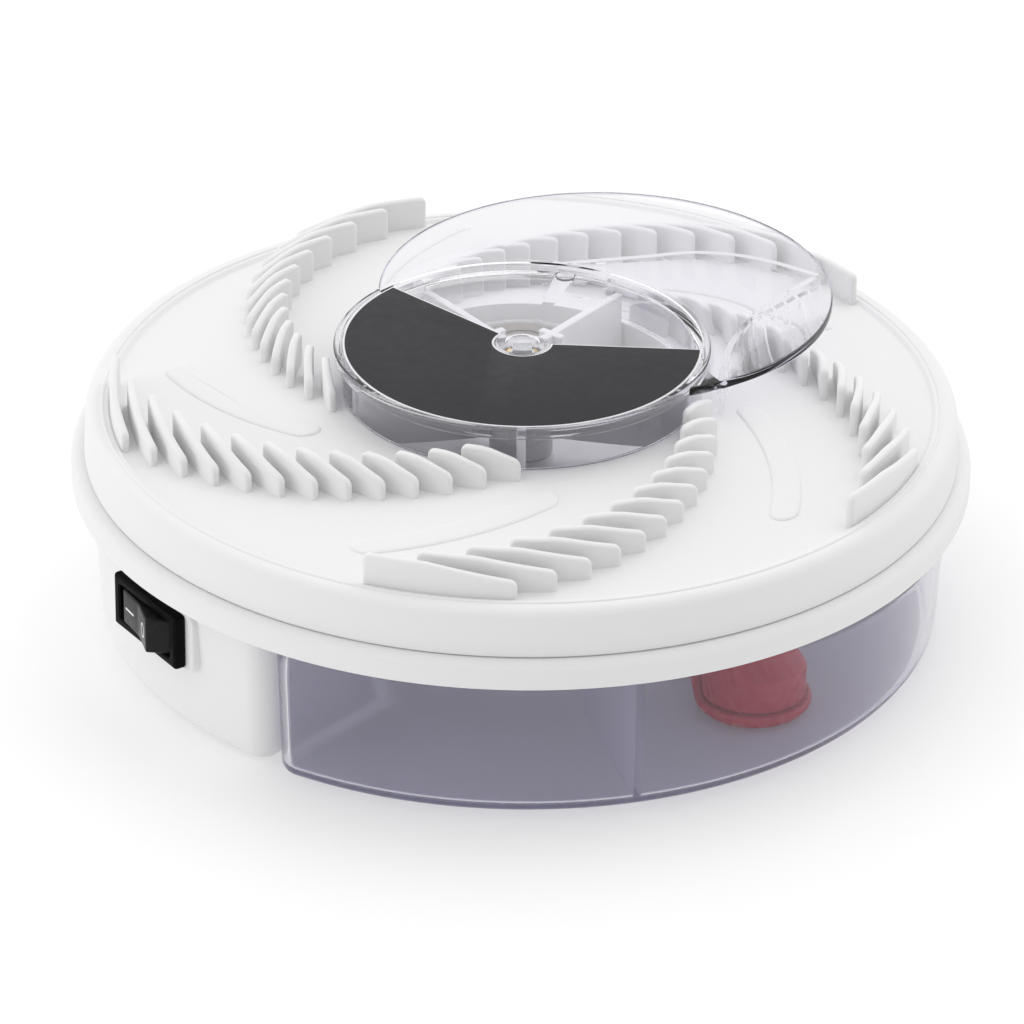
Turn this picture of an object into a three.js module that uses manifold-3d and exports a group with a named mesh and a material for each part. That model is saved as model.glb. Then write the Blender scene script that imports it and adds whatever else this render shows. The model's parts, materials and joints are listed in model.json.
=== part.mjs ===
// Electric rotating fly trap: a round table-top trap about 200 mm across.
// A slow gearmotor in the white housing turns a finned bait table. A clear cover with a side visor
// stands still over it on a central spindle. Insects ride under the visor and drop into a clear drawer.
//
// Frame: millimetres, +Z up, origin on the table under the centre. -Y is the front.
// The drawer pulls out towards drawerAngle, and the housing fills the opposite side.

import * as THREE from 'three';
import { mergeVertices } from 'three/addons/utils/BufferGeometryUtils.js';
import loadManifold from 'manifold-3d';

const wasm = await loadManifold();
wasm.setup();

const degrees = THREE.MathUtils.degToRad;

// ---------------------------------------------------------------- driving dimensions

const bigRound = 48;             // sides of a large circle
const smallRound = 20;           // sides of a small circle
const pinRound = 10;             // sides of a screw or a pin

const touchGap = 0.3;            // between pieces that rest on each other
const shaftClearance = 0.1;      // radial, between a shaft and its bore

const flangeRadius = 100;        // outside of the base flange
const flangeBottomZ = 34.4;
const flangeDepth = 6.2;         // flange lower edge to the top of the base plate
const plateThickness = 2.2;
const skirtWall = 2.2;

const groundClearance = 0.6;     // housing above the table, set by the feet
const housingOverhang = 4.3;     // flange beyond the housing wall, at the top
const housingDraft = 2.0;        // how much smaller the housing radius is at the floor
const housingWall = 2.2;
const housingFloor = 2.2;
const housingBottomRound = 4.5;
const housingCornerRound = 5;
const housingFront = 8;          // front wall plane, from the centre towards the drawer
const bulgeRadius = 15.5;        // housing around the central boss

const drawerAngle = degrees(-40);
const drawerBulgeGap = 1.5;      // drawer back wall in front of the housing bulge
const drawerFrontGap = 1.3;      // and in front of the housing's front wall
const drawerWall = 1.8;
const drawerFloor = 2;
const drawerBottomRound = 3.2;
const drawerCornerRound = 5;
const drawerTopGap = 0.6;        // drawer rim under the flange edge
const drawerGroundGap = 0.4;
const drawerDividerAngle = degrees(286);
const drawerDividerDrop = 3;     // divider top below the drawer rim
const railOffset = 34;           // guide rails either side of the drawer axis
const railWidth = 2.4;

const tableGap = 0.6;            // parting line between flange and bait table
const tableInset = 3;            // bait table skirt inside the flange radius
const tableWall = 1.9;
const rimHeight = 10.4;          // skirt lower edge to the top of the rim
const rimBand = 5.8;             // width of the raised rim
const rimStep = 0.8;             // rim above the deck edge
const deckRise = 3.5;            // the deck is a shallow cone
const deckThickness = 2;

const coverRadius = 40.2;        // outside of the clear drum wall
const coverWall = 1.8;
const coverTopThickness = 2;
const coverRimBead = 1.5;        // how far the rolled rim stands out
const coverGap = 0.3;            // cover wall above the deck
const filmRecess = 0.4;
const filmThickness = 0.3;
const filmEdgeGap = 0.3;
const filmStart = degrees(137.6);
const filmEnd = degrees(356.8);
const hubRingRadius = 5.7;
const hubDimpleRadius = 3.9;
const entryStart = degrees(61);  // opening in the drum wall
const entryEnd = degrees(125);

const visorAngle = degrees(56);
const visorOffset = 33.3;        // visor centre from the axis
const visorRadius = 51;
const visorThickness = 2;
const visorFinGap = 0.7;         // highest fin top to the visor
const visorDrop = 0.5;           // visor top below the cover top
const combWall = 1.5;
// Guide walls: distance outside the drum wall, and angle in degrees.
const backGuidePath = [[1.3, 83.6], [13.1, 59.7], [22.8, 50.6], [30, 41], [36.4, 29.7]];
const sideGuidePath = [[5.3, -17.6], [6.2, 4.3], [14, 18.3], [23.8, 25], [35.1, 29.1]];
const combGap = 0.5;             // guide wall to fin, and to bait patch

const finRows = 5;
const finsPerRow = 13;
const finThickness = 1.8;
const finHeight = 7.6;
const finFrontHeight = 4.5;
const finInnerGap = 3.2;         // innermost fin outside the cover wall
const finRootDepth = 0.8;        // how far a fin is sunk into the deck
const finShortLength = 13;       // length of the innermost fin
const finLongGrowth = 20;        // how much longer the outermost fin is
const finFlatShare = 0.42;       // part of the length at full height
const finStep = 6;               // a fin bends at most this far apart
const rowSweep = degrees(72.3);  // innermost foot ahead of the outermost foot
const rowArcRadius = 70.85;      // the feet of a row stand on an arc

const patchWidth = 5.6;          // raised bait patch between two rows
const patchHeight = 0.45;
const patchRimGap = 11.7;        // its outer end inside the deck edge
const patchCoverGap = 9.8;       // its inner end outside the drum wall
const patchOuterAngle = degrees(-99);
const patchInnerAngle = degrees(-63);

const vaneAngle = degrees(54);
const vaneThickness = 2;
const vaneGap = 1.1;             // vane top under the cover
const vaneTipGap = 1.0;          // vane tip inside the drum wall
const hubRadius = 6.8;
const bushWall = 1.2;
const seatLip = 1.6;             // lip of the table that carries the vane feet
const seatDepth = 1.1;           // lip thickness

const spindleRadius = 3;
const spindleKey = 4.2;          // square end that stops the cover from turning
const spindleBossRadius = 7.5;
const spindleBossDepth = 8.4;    // boss under the base plate

const potRadius = 12.9;
const potLidRadius = 11.6;
const potHeight = 13;
const potInset = 23.7;           // pot centre inside the drawer wall
const potAngle = degrees(-43.3);

const gearTeeth = 48;
const pinionTeeth = 12;
const gearWeb = 7;               // pitch circle outside the deck opening
const gearThickness = 4;
const gearBacklash = 0.45;       // in modules
const motorShaftRadius = 2.5;
const gearboxRadius = 19;
const gearboxHeight = 12;
const motorCanRadius = 12;
const motorCanHeight = 12;
const motorEarReach = 5;         // screw ear centre outside the gearbox

const switchAngle = degrees(214.7);
const switchZ = 25;
const bezelWidth = 25.4;
const bezelHeight = 12.8;
const bezelThickness = 2.7;
const bezelChamfer = 0.7;
const wellWidth = 20.6;
const wellHeight = 8.6;
const wellDepth = 12;
const switchDepth = 17.5;
const switchShell = 0.8;         // switch body wall around the well
const padWidth = 34;
const padHeight = 17;
const padShift = 3;              // pad centre to the right of the switch
const padCornerRound = 3;
const rockerTilt = degrees(12);
const rockerPivotDepth = 4;      // pivot behind the bezel face
const rockerPinRadius = 0.75;

const jackAngle = degrees(120);
const jackZ = 14;
const jackRadius = 4.6;
const jackBore = 2.9;
const jackPinRadius = 0.95;
const jackLength = 15;

const deckScrewRadius = 1.5;
const deckScrewInset = 11.5;     // screw circle inside the housing wall
const deckScrewAngles = [92, 140, -140, -92].map(degrees);
const smallScrewRadius = 1.1;
const footRadius = 6;
const footHeight = 1.6;
const rearFootInset = 19.7;      // foot centres inside the housing wall
const sideFootInset = 27.7;
const boardInset = 22;           // board centre inside the housing wall
const boardAngle = degrees(210.1);   // from the drawer direction
const boardLength = 26;
const boardWidth = 18;
const boardThickness = 1.6;
const boardScrewSpread = 9;
const wireRadius = 0.8;

// ---------------------------------------------------------------- derived heights and radii

const plateTopZ = flangeBottomZ + flangeDepth;
const plateBottomZ = plateTopZ - plateThickness;
const housingTopRadius = flangeRadius - housingOverhang;
const housingBottomRadius = housingTopRadius - housingDraft;
const housingTopZ = plateBottomZ - touchGap;

const tableBottomZ = plateTopZ + tableGap;
const tableRadius = flangeRadius - tableInset;
const rimTopZ = tableBottomZ + rimHeight;
const deckRadius = tableRadius - 0.5 - rimBand;
const deckEdgeZ = rimTopZ - rimStep;
const openingRadius = coverRadius - coverWall - 0.4;
const deckInnerRadius = coverRadius + 0.3;
const deckTopZ = deckEdgeZ + deckRise;

const coverBottomZ = deckTopZ + coverGap;
const visorUnderZ = deckTopZ + finHeight + visorFinGap;
const visorTopZ = visorUnderZ + visorThickness;
const coverTopZ = visorTopZ + visorDrop;
const coverUnderZ = coverTopZ - coverTopThickness;
const filmRadius = coverRadius - 0.3 - filmEdgeGap;

const bossTopZ = plateTopZ + 1.4;
const hubBottomZ = bossTopZ + touchGap;
const vaneTopZ = coverUnderZ - vaneGap;
const hubTopZ = vaneTopZ - 3;
const coverBossBottomZ = hubTopZ + touchGap;

const gearPitchRadius = openingRadius + gearWeb;
const gearModule = 2 * gearPitchRadius / gearTeeth;
const pinionPitchRadius = gearModule * pinionTeeth / 2;
const motorDistance = gearPitchRadius + pinionPitchRadius;
const motorAngle = drawerAngle + Math.PI;
const gearBottomZ = plateTopZ + 1.8;
const gearTopZ = gearBottomZ + gearThickness;

const drawerInset = bulgeRadius + drawerBulgeGap;
const drawerTopZ = flangeBottomZ - drawerTopGap;
const padPlane = housingTopRadius - 0.2;
const spindleFootZ = plateBottomZ - spindleBossDepth;

const deckHeightAt = (r) => deckTopZ
  - deckRise * THREE.MathUtils.clamp((r - deckInnerRadius) / (deckRadius - deckInnerRadius), 0, 1);

// ---------------------------------------------------------------- solid helpers

// A closed geometry becomes a manifold solid with its faces pointing out.
function solid(geometry) {
  const bare = new THREE.BufferGeometry();
  const source = geometry.index ? geometry.toNonIndexed() : geometry;
  bare.setAttribute('position', source.attributes.position.clone());
  const merged = mergeVertices(bare, 1e-4);
  const points = merged.attributes.position;
  const index = merged.index.array;
  const [a, b, c] = [new THREE.Vector3(), new THREE.Vector3(), new THREE.Vector3()];
  const triangles = [];
  let volume = 0;
  for (let i = 0; i < index.length; i += 3) {
    const [ia, ib, ic] = [index[i], index[i + 1], index[i + 2]];
    if (ia === ib || ib === ic || ic === ia) continue;
    a.fromBufferAttribute(points, ia);
    b.fromBufferAttribute(points, ib);
    c.fromBufferAttribute(points, ic);
    volume += a.dot(b.cross(c));
    triangles.push(ia, ib, ic);
  }
  if (volume < 0) {
    for (let i = 0; i < triangles.length; i += 3) {
      [triangles[i], triangles[i + 1]] = [triangles[i + 1], triangles[i]];
    }
  }
  return new wasm.Manifold(new wasm.Mesh({
    numProp: 3,
    vertProperties: new Float32Array(points.array),
    triVerts: new Uint32Array(triangles),
  }));
}

const join = (first, ...rest) => rest.reduce((sum, piece) => sum.add(piece), first);
const cut = (first, ...tools) => tools.reduce((left, tool) => left.subtract(tool), first);

// Solid of revolution about Z. The profile is a list of [radius, z].
function revolve(profile, sides = bigRound) {
  const points = profile.map(([r, z]) => new THREE.Vector2(r, z));
  return solid(new THREE.LatheGeometry(points, sides).rotateX(Math.PI / 2));
}

// Ring of revolution: the profile closes on itself.
const revolveRing = (profile, sides) => revolve([...profile, profile[0]], sides);

const tube = (inner, outer, z0, z1, sides) => revolveRing(
  [[inner, z0], [outer, z0], [outer, z1], [inner, z1]], sides);

function cylinder(radius, z0, z1, x = 0, y = 0, sides = smallRound) {
  const geometry = new THREE.CylinderGeometry(radius, radius, z1 - z0, sides).rotateX(Math.PI / 2);
  return solid(geometry.translate(x, y, (z0 + z1) / 2));
}

function box(width, depth, height, x, y, z, turn = 0) {
  const geometry = new THREE.BoxGeometry(width, depth, height).translate(x, y, z);
  return solid(geometry.rotateZ(turn));
}

const shapeOf = (outline) => new THREE.Shape(outline.map(([x, y]) => new THREE.Vector2(x, y)));

function prism(outline, z0, z1, turn = 0) {
  const geometry = new THREE.ExtrudeGeometry(shapeOf(outline), { depth: z1 - z0, bevelEnabled: false });
  return solid(geometry.translate(0, 0, z0).rotateZ(turn));
}

// Prism whose lower edge is rounded, and whose sides lean out by scale per millimetre of height.
function roundedPrism(outline, z0, z1, round, lean, turn) {
  const geometry = new THREE.ExtrudeGeometry(shapeOf(outline), {
    depth: z1 - z0 - round,
    bevelThickness: round,
    bevelSize: round,
    bevelOffset: -round,
    bevelSegments: 3,
  }).translate(0, 0, z0 + round);
  const points = geometry.attributes.position;
  for (let i = 0; i < points.count; i++) {
    const grow = 1 + lean * (points.getZ(i) - z0);
    points.setXY(i, points.getX(i) * grow, points.getY(i) * grow);
  }
  const cap = 4 * flangeRadius;
  const above = box(cap, cap, 2 * round + 2, 0, 0, z1 + round + 1);
  return cut(solid(geometry.rotateZ(turn)), above);
}

function arc(x, y, radius, from, to, steps) {
  return Array.from({ length: steps + 1 }, (_, i) => {
    const t = from + (to - from) * i / steps;
    return [x + radius * Math.cos(t), y + radius * Math.sin(t)];
  });
}

function roundedRectangle(width, height, round, x = 0, y = 0, steps = 4) {
  const [w, h] = [width / 2 - round, height / 2 - round];
  return [[w, h, 0], [-w, h, 1], [-w, -h, 2], [w, -h, 3]].flatMap(
    ([cx, cy, quarter]) => arc(x + cx, y + cy, round, quarter * Math.PI / 2,
      (quarter + 1) * Math.PI / 2, steps));
}

// Tube along a smooth curve through the given points.
function wireAlong(points) {
  const curve = new THREE.CatmullRomCurve3(points.map((p) => new THREE.Vector3(...p)));
  const section = new THREE.Shape().absarc(0, 0, wireRadius, 0, 2 * Math.PI);
  return solid(new THREE.ExtrudeGeometry(section, {
    steps: 12, curveSegments: 4, bevelEnabled: false, extrudePath: curve,
  }));
}

const polar = (radius, angle) => [radius * Math.cos(angle), radius * Math.sin(angle)];

// A point of the drawer frame (first axis along the drawer, z up) in the part's frame.
function fromDrawerFrame([x, y, z]) {
  const [c, s] = [Math.cos(drawerAngle), Math.sin(drawerAngle)];
  return [x * c - y * s, x * s + y * c, z];
}

function piece(name, body, { color, roughness = 0.4, metalness = 0, opacity = 1 }) {
  const { vertProperties, triVerts } = body.getMesh();
  const geometry = new THREE.BufferGeometry();
  geometry.setAttribute('position', new THREE.BufferAttribute(vertProperties, 3));
  geometry.setIndex(new THREE.BufferAttribute(triVerts, 1));
  geometry.computeVertexNormals();
  const material = new THREE.MeshStandardMaterial(
    { color, roughness, metalness, opacity, transparent: opacity < 1 });
  const mesh = new THREE.Mesh(geometry, material);
  mesh.name = name;
  return mesh;
}

// ---------------------------------------------------------------- materials

const whitePlastic = { color: 0xeeeeee, roughness: 0.38 };
const clearPlastic = { color: 0xe6e4f0, roughness: 0.08, opacity: 0.25 };
const smokePlastic = { color: 0xa9a7b8, roughness: 0.1, opacity: 0.5 };
const blackFilm = { color: 0x39393b, roughness: 0.45 };
const blackPlastic = { color: 0x0c0c0d, roughness: 0.35 };
const redPlastic = { color: 0xb8283c, roughness: 0.3 };
const steel = { color: 0xb9bbbe, roughness: 0.25, metalness: 1 };
const brass = { color: 0xb5934a, roughness: 0.3, metalness: 1 };
const acetal = { color: 0xe9e6da, roughness: 0.45 };
const rubber = { color: 0x2b2b2b, roughness: 0.85 };
const boardGreen = { color: 0x1f5a35, roughness: 0.5 };
const redWire = { color: 0xb3221f, roughness: 0.5 };
const blackWire = { color: 0x1a1a1a, roughness: 0.5 };

const trap = new THREE.Group();
const add = (name, body, material) => trap.add(piece(name, body, material));

// ---------------------------------------------------------------- base plate with flange

const motorCentre = polar(motorDistance, motorAngle);
const postRadius = 4;
const deckScrewCircle = housingBottomRadius - deckScrewInset;
const deckScrewCentres = deckScrewAngles.map((a) => polar(deckScrewCircle, drawerAngle + a));
const deckBossBottomZ = plateBottomZ - 6.4;
const motorEarSpread = gearboxRadius + motorEarReach;
const motorEarCentres = [-1, 1].map((side) => fromDrawerFrame(
  [-motorDistance, side * motorEarSpread, 0]));
const gearboxTopZ = plateBottomZ - 5.4;

function dropHoleOutline() {
  const reach = openingRadius - 2;
  const halfAngle = Math.acos((drawerInset + drawerWall + 0.7) / reach);
  return arc(0, 0, reach, -halfAngle, halfAngle, 16);
}

function basePlate() {
  const lower = plateBottomZ;
  const r = flangeRadius;
  const shell = revolveRing([
    [r - skirtWall, flangeBottomZ], [r - 0.4, flangeBottomZ], [r, flangeBottomZ + 0.5],
    [r, plateTopZ - 2.2], [r - 0.5, plateTopZ - 0.8], [r - 1.8, plateTopZ],
    [spindleBossRadius, plateTopZ], [spindleBossRadius - 1, bossTopZ],
    [spindleRadius + shaftClearance, bossTopZ], [spindleRadius + shaftClearance, spindleFootZ],
    [spindleBossRadius, spindleFootZ], [spindleBossRadius, lower], [r - skirtWall, lower],
  ]);
  const deckBosses = deckScrewCentres.map(([x, y]) => cut(
    cylinder(postRadius, deckBossBottomZ, lower + 0.5, x, y, smallRound),
    cylinder(deckScrewRadius + shaftClearance, deckBossBottomZ - 1, lower - 0.2, x, y, pinRound)));
  const motorBosses = motorEarCentres.map(([x, y]) => cut(
    cylinder(3.4, gearboxTopZ + touchGap, lower + 0.5, x, y, smallRound),
    cylinder(smallScrewRadius + shaftClearance, gearboxTopZ - 1, lower - 0.2, x, y, pinRound)));
  const railLength = housingTopRadius - drawerInset - 22;
  const rails = [-1, 1].map((side) => box(
    railLength, railWidth, lower + 0.5 - drawerTopZ - touchGap,
    drawerInset + 6 + railLength / 2, side * railOffset,
    (lower + 0.5 + drawerTopZ + touchGap) / 2, drawerAngle));
  const dropHole = prism(dropHoleOutline(), lower - 1, plateTopZ + 1, drawerAngle);
  const shaftHole = cylinder(5.6, lower - 1, plateTopZ + 1, ...motorCentre);
  return cut(join(shell, ...deckBosses, ...motorBosses, ...rails), dropHole, shaftHole);
}
add('base_deck', basePlate(), whitePlastic);

// ---------------------------------------------------------------- housing

// Plan of the housing in the drawer frame: a round back, a flat front and a bulge at the centre.
function housingOutline(inset) {
  const r = housingBottomRadius - inset;
  const front = housingFront - inset;
  const round = housingCornerRound - inset;
  const bulge = bulgeRadius - inset;
  const cornerX = front - round;
  const cornerY = Math.sqrt((r - round) ** 2 - cornerX ** 2);
  const cornerAngle = Math.atan2(cornerY, cornerX);
  const bulgeAngle = Math.acos(front / bulge);
  return [
    ...arc(0, 0, bulge, -bulgeAngle, bulgeAngle, 10),
    ...arc(cornerX, cornerY, round, 0, cornerAngle, 5),
    ...arc(0, 0, r, cornerAngle, 2 * Math.PI - cornerAngle, 28).slice(1, -1),
    ...arc(cornerX, -cornerY, round, -cornerAngle, 0, 5),
  ];
}

const housingFloorZ = groundClearance + housingFloor;
const housingLean = housingDraft / housingBottomRadius / (housingTopZ - groundClearance);
const footCentres = [[180, rearFootInset], [93, sideFootInset], [-93, sideFootInset]].map(
  ([angle, inset]) => polar(housingBottomRadius - inset, drawerAngle + degrees(angle)));
const boardCentre = polar(housingBottomRadius - boardInset, boardAngle);
const boardBottomZ = housingFloorZ + 5;
const boardScrewCentres = [-boardScrewSpread, boardScrewSpread].map((shift) => fromDrawerFrame(
  [boardCentre[0] + shift, boardCentre[1], 0]));
const switchTurn = switchAngle + Math.PI / 2;

// Places a solid that is built for a front wall, facing -Y, at an angle around the housing.
const facing = (body, turn) => body.rotate([0, 0, THREE.MathUtils.radToDeg(turn)]);

function wallPad() {
  const depth = 6;
  const outline = roundedRectangle(padWidth, padHeight, padCornerRound, padShift, switchZ);
  const geometry = new THREE.ExtrudeGeometry(shapeOf(outline), { depth, bevelEnabled: false });
  geometry.rotateX(Math.PI / 2).translate(0, depth - padPlane, 0);
  return facing(solid(geometry), switchTurn);
}

function housing() {
  const outer = roundedPrism(housingOutline(0), groundClearance, housingTopZ,
    housingBottomRound, housingLean, drawerAngle);
  const inner = roundedPrism(housingOutline(housingWall), housingFloorZ, housingTopZ + 2,
    housingBottomRound - housingWall, housingLean, drawerAngle);
  const posts = deckScrewCentres.map(([x, y]) => cylinder(
    postRadius, housingFloorZ - 0.5, deckBossBottomZ - touchGap, x, y));
  const boardPosts = boardScrewCentres.map(([x, y]) => cylinder(
    2.4, housingFloorZ - 0.5, boardBottomZ - touchGap, x, y, pinRound));
  const pad = wallPad();
  const screwHoles = deckScrewCentres.flatMap(([x, y]) => [
    cylinder(deckScrewRadius + 0.3, 0, flangeBottomZ, x, y, pinRound),
    cylinder(deckScrewRadius * 2 + 0.4, 0, deckBossBottomZ - 8, x, y, pinRound),
  ]);
  const boardHoles = boardScrewCentres.map(([x, y]) => cylinder(
    smallScrewRadius + shaftClearance, housingFloorZ + 0.6, boardBottomZ, x, y, pinRound));
  const footHoles = footCentres.map(([x, y]) => cylinder(
    footRadius + touchGap, 0, footHeight + touchGap, x, y));
  const switchHole = facing(box(wellWidth + 2 * switchShell + 2 * touchGap, 24,
    wellHeight + 2 * switchShell + 2 * touchGap, 0, 8 - padPlane, switchZ), switchTurn);
  const jackHole = facing(solid(new THREE.CylinderGeometry(
    jackRadius + touchGap, jackRadius + touchGap, 12, smallRound)
    .translate(0, -housingBottomRadius, jackZ)), jackAngle + Math.PI / 2);
  const shell = cut(outer, inner);
  return cut(join(shell, ...posts, ...boardPosts, pad),
    ...screwHoles, ...boardHoles, ...footHoles, switchHole, jackHole);
}
add('base_housing', housing(), whitePlastic);

footCentres.forEach(([x, y], i) => add(`foot_${i + 1}`,
  cylinder(footRadius, 0, footHeight, x, y), rubber));

// Screw standing on its head.
function screw(radius, headRadius, headHeight, headZ, tipZ, [x, y]) {
  return join(cylinder(headRadius, headZ, headZ + headHeight, x, y, pinRound),
    cylinder(radius, headZ + headHeight - 0.2, tipZ, x, y, pinRound));
}

deckScrewCentres.forEach((centre, i) => add(`deck_screw_${i + 1}`,
  screw(deckScrewRadius, deckScrewRadius * 2, 2, deckBossBottomZ - 8 - 2 - touchGap,
    plateBottomZ - 0.8, centre), steel));

// ---------------------------------------------------------------- spindle, bush and vane rotor

function spindle() {
  const shaft = revolve([
    [0, spindleFootZ - 2], [spindleRadius + 2.5, spindleFootZ - 2],
    [spindleRadius + 2.5, spindleFootZ - touchGap], [spindleRadius, spindleFootZ - touchGap],
    [spindleRadius, coverBossBottomZ - 0.6], [0, coverBossBottomZ - 0.6],
  ], smallRound);
  const keyTopZ = coverTopZ - coverTopThickness - touchGap;
  return join(shaft, box(spindleKey, spindleKey, keyTopZ - coverBossBottomZ + 1.6,
    0, 0, (keyTopZ + coverBossBottomZ - 1.6) / 2));
}
add('spindle', spindle(), steel);

const bushInner = spindleRadius + shaftClearance;
const bushOuter = bushInner + bushWall;
add('hub_bush', tube(bushInner, bushOuter, hubBottomZ, hubTopZ - 1, smallRound), brass);

const seatTopZ = gearTopZ + touchGap + seatDepth;
const vaneTip = coverRadius - coverWall - vaneTipGap;

function vaneRotor() {
  const hub = tube(bushOuter + shaftClearance, hubRadius, hubBottomZ, hubTopZ, smallRound);
  const vanes = Array.from({ length: finRows }, (_, i) => {
    const start = hubRadius - 0.6;
    const bottomZ = seatTopZ - seatDepth + touchGap;
    const length = vaneTip - start;
    const turn = vaneAngle + i * 2 * Math.PI / finRows;
    return box(length, vaneThickness, vaneTopZ - bottomZ,
      start + length / 2, 0, (vaneTopZ + bottomZ) / 2, turn);
  });
  const crossPieces = Array.from({ length: finRows }, (_, i) => box(
    2, 6, vaneTopZ - hubBottomZ - 6, hubRadius + 4, 0, (vaneTopZ + hubBottomZ + 6) / 2,
    vaneAngle + i * 2 * Math.PI / finRows));
  return join(hub, ...vanes, ...crossPieces);
}
add('vane_rotor', vaneRotor(), whitePlastic);

// ---------------------------------------------------------------- bait table

const finInnerRadius = coverRadius + finInnerGap;
const finOuterRadius = deckRadius - 0.5;
const finPitch = (finOuterRadius - finInnerRadius) / (finsPerRow - 1);
const finRadii = Array.from({ length: finsPerRow }, (_, i) => finInnerRadius + i * finPitch);

// The feet of one row stand on an arc that joins the innermost foot to the outermost one.
function rowArcCentre() {
  const inner = new THREE.Vector2(finInnerRadius, 0);
  const outer = new THREE.Vector2(...polar(finOuterRadius, -rowSweep));
  const middle = inner.clone().add(outer).multiplyScalar(0.5);
  const chord = outer.clone().sub(inner);
  const rise = Math.sqrt(rowArcRadius ** 2 - (chord.length() / 2) ** 2);
  return middle.add(new THREE.Vector2(chord.y, -chord.x).normalize().multiplyScalar(rise));
}
const rowCentre = rowArcCentre();

function footAngle(radius) {
  const reach = rowCentre.length();
  const cosine = (radius ** 2 + reach ** 2 - rowArcRadius ** 2) / (2 * radius * reach);
  return rowCentre.angle() + Math.acos(cosine) - 2 * Math.PI;
}

const finLength = (radius) => finShortLength + finLongGrowth
  * ((radius - finInnerRadius) / (finOuterRadius - finInnerRadius)) ** 2.2;

// One fin: a side profile with a sloped front, bent round the axis in steps of at most finStep.
function fin(radius, rowTurn) {
  const length = finLength(radius);
  const flatEnd = length * finFlatShare;
  const split = (from, to) => {
    const count = Math.ceil((to - from) / finStep);
    return Array.from({ length: count }, (_, i) => from + (to - from) * i / count);
  };
  const stations = [...split(0, flatEnd), ...split(flatEnd, length), length];
  const spans = stations.length - 1;
  const geometry = new THREE.BoxGeometry(1, 1, finThickness, spans);
  const points = geometry.attributes.position;
  const rear = footAngle(radius) - length / radius + rowTurn;
  for (let i = 0; i < points.count; i++) {
    const s = stations[Math.round((points.getX(i) + 0.5) * spans)];
    const fall = Math.max(0, s - flatEnd) / (length - flatEnd);
    const top = finHeight - (finHeight - finFrontHeight) * fall;
    const [x, y] = polar(radius + points.getZ(i), rear + s / radius);
    points.setXYZ(i, x, y, deckHeightAt(radius) + (points.getY(i) > 0 ? top : -finRootDepth));
  }
  return solid(geometry);
}

// A low raised leaf that marks a bait patch between two rows.
function baitPatch(turn) {
  const [x0, y0] = polar(deckRadius - patchRimGap, patchOuterAngle + turn);
  const [x1, y1] = polar(coverRadius + patchCoverGap, patchInnerAngle + turn);
  const tilt = Math.atan2(y1 - y0, x1 - x0);
  const length = Math.hypot(x1 - x0, y1 - y0);
  const outline = roundedRectangle(length, patchWidth, patchWidth / 2 - 0.1, length / 2, 0, 3);
  const geometry = new THREE.ExtrudeGeometry(shapeOf(outline), { depth: 2, bevelEnabled: false });
  const points = geometry.attributes.position;
  geometry.rotateZ(tilt).translate(x0, y0, 0);
  for (let i = 0; i < points.count; i++) {
    const r = Math.hypot(points.getX(i), points.getY(i));
    const raised = points.getZ(i) > 1 ? patchHeight : -finRootDepth;
    points.setZ(i, deckHeightAt(r) + raised);
  }
  return solid(geometry);
}

const gearScrewRadius = 1;
const gearScrewCircle = openingRadius + 2.7;
const gearScrewCentres = [0, 1, 2].map((i) => polar(gearScrewCircle, i * 2 * Math.PI / 3));

function baitTable() {
  const r = tableRadius;
  const collar = openingRadius + 1.8;
  const under = deckThickness;
  const shell = revolveRing([
    [r - tableWall, tableBottomZ], [r - 0.3, tableBottomZ], [r, tableBottomZ + 0.4],
    [r - 0.5, rimTopZ - 1.5], [r - 1, rimTopZ - 0.4], [r - 2, rimTopZ],
    [deckRadius + 1.6, rimTopZ], [deckRadius + 0.7, rimTopZ - 0.35], [deckRadius, deckEdgeZ],
    [deckInnerRadius, deckTopZ], [openingRadius, deckTopZ], [openingRadius, seatTopZ],
    [openingRadius - seatLip, seatTopZ], [openingRadius - seatLip, seatTopZ - seatDepth],
    [collar, seatTopZ - seatDepth], [collar, deckTopZ - under], [deckInnerRadius + 2, deckTopZ - under - 0.1],
    [deckRadius, deckEdgeZ - under], [r - tableWall - 0.3, deckEdgeZ - under],
  ]);
  const fins = [];
  for (let row = 0; row < finRows; row++) {
    const turn = vaneAngle + row * 2 * Math.PI / finRows;
    for (const radius of finRadii) fins.push(fin(radius, turn));
    fins.push(baitPatch(turn));
  }
  const bosses = gearScrewCentres.map(([x, y]) => cylinder(
    2.4, gearTopZ + touchGap, deckTopZ - under + 0.5, x, y, pinRound));
  const bores = gearScrewCentres.map(([x, y]) => cylinder(
    gearScrewRadius + shaftClearance, gearTopZ - 1, deckTopZ - under - 0.6, x, y, pinRound));
  const notches = Array.from({ length: finRows }, (_, i) => box(
    openingRadius, vaneThickness + 2 * shaftClearance, seatDepth + 2, openingRadius / 2, 0,
    seatTopZ - seatDepth / 2, vaneAngle + i * 2 * Math.PI / finRows));
  return cut(join(shell, ...fins, ...bosses), ...bores, ...notches);
}
add('turntable', baitTable(), whitePlastic);

// ---------------------------------------------------------------- drive

// Outline of a spur gear with straight flanks. A tooth is centred on the start angle.
function gearOutline(teeth, start) {
  const pitch = gearModule * teeth / 2;
  const root = pitch - 1.2 * gearModule;
  const tip = pitch + 0.8 * gearModule;
  const halfPitchTooth = gearModule * (Math.PI - gearBacklash) / 4;
  const slope = Math.tan(degrees(20));
  const outline = [];
  for (let i = 0; i < teeth; i++) {
    const middle = start + i * 2 * Math.PI / teeth;
    for (const [r, side] of [[root, -1], [tip, -1], [tip, 1], [root, 1]]) {
      const half = (halfPitchTooth - (r - pitch) * slope) / r;
      outline.push(polar(r, middle + side * half));
    }
  }
  return outline;
}

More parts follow.
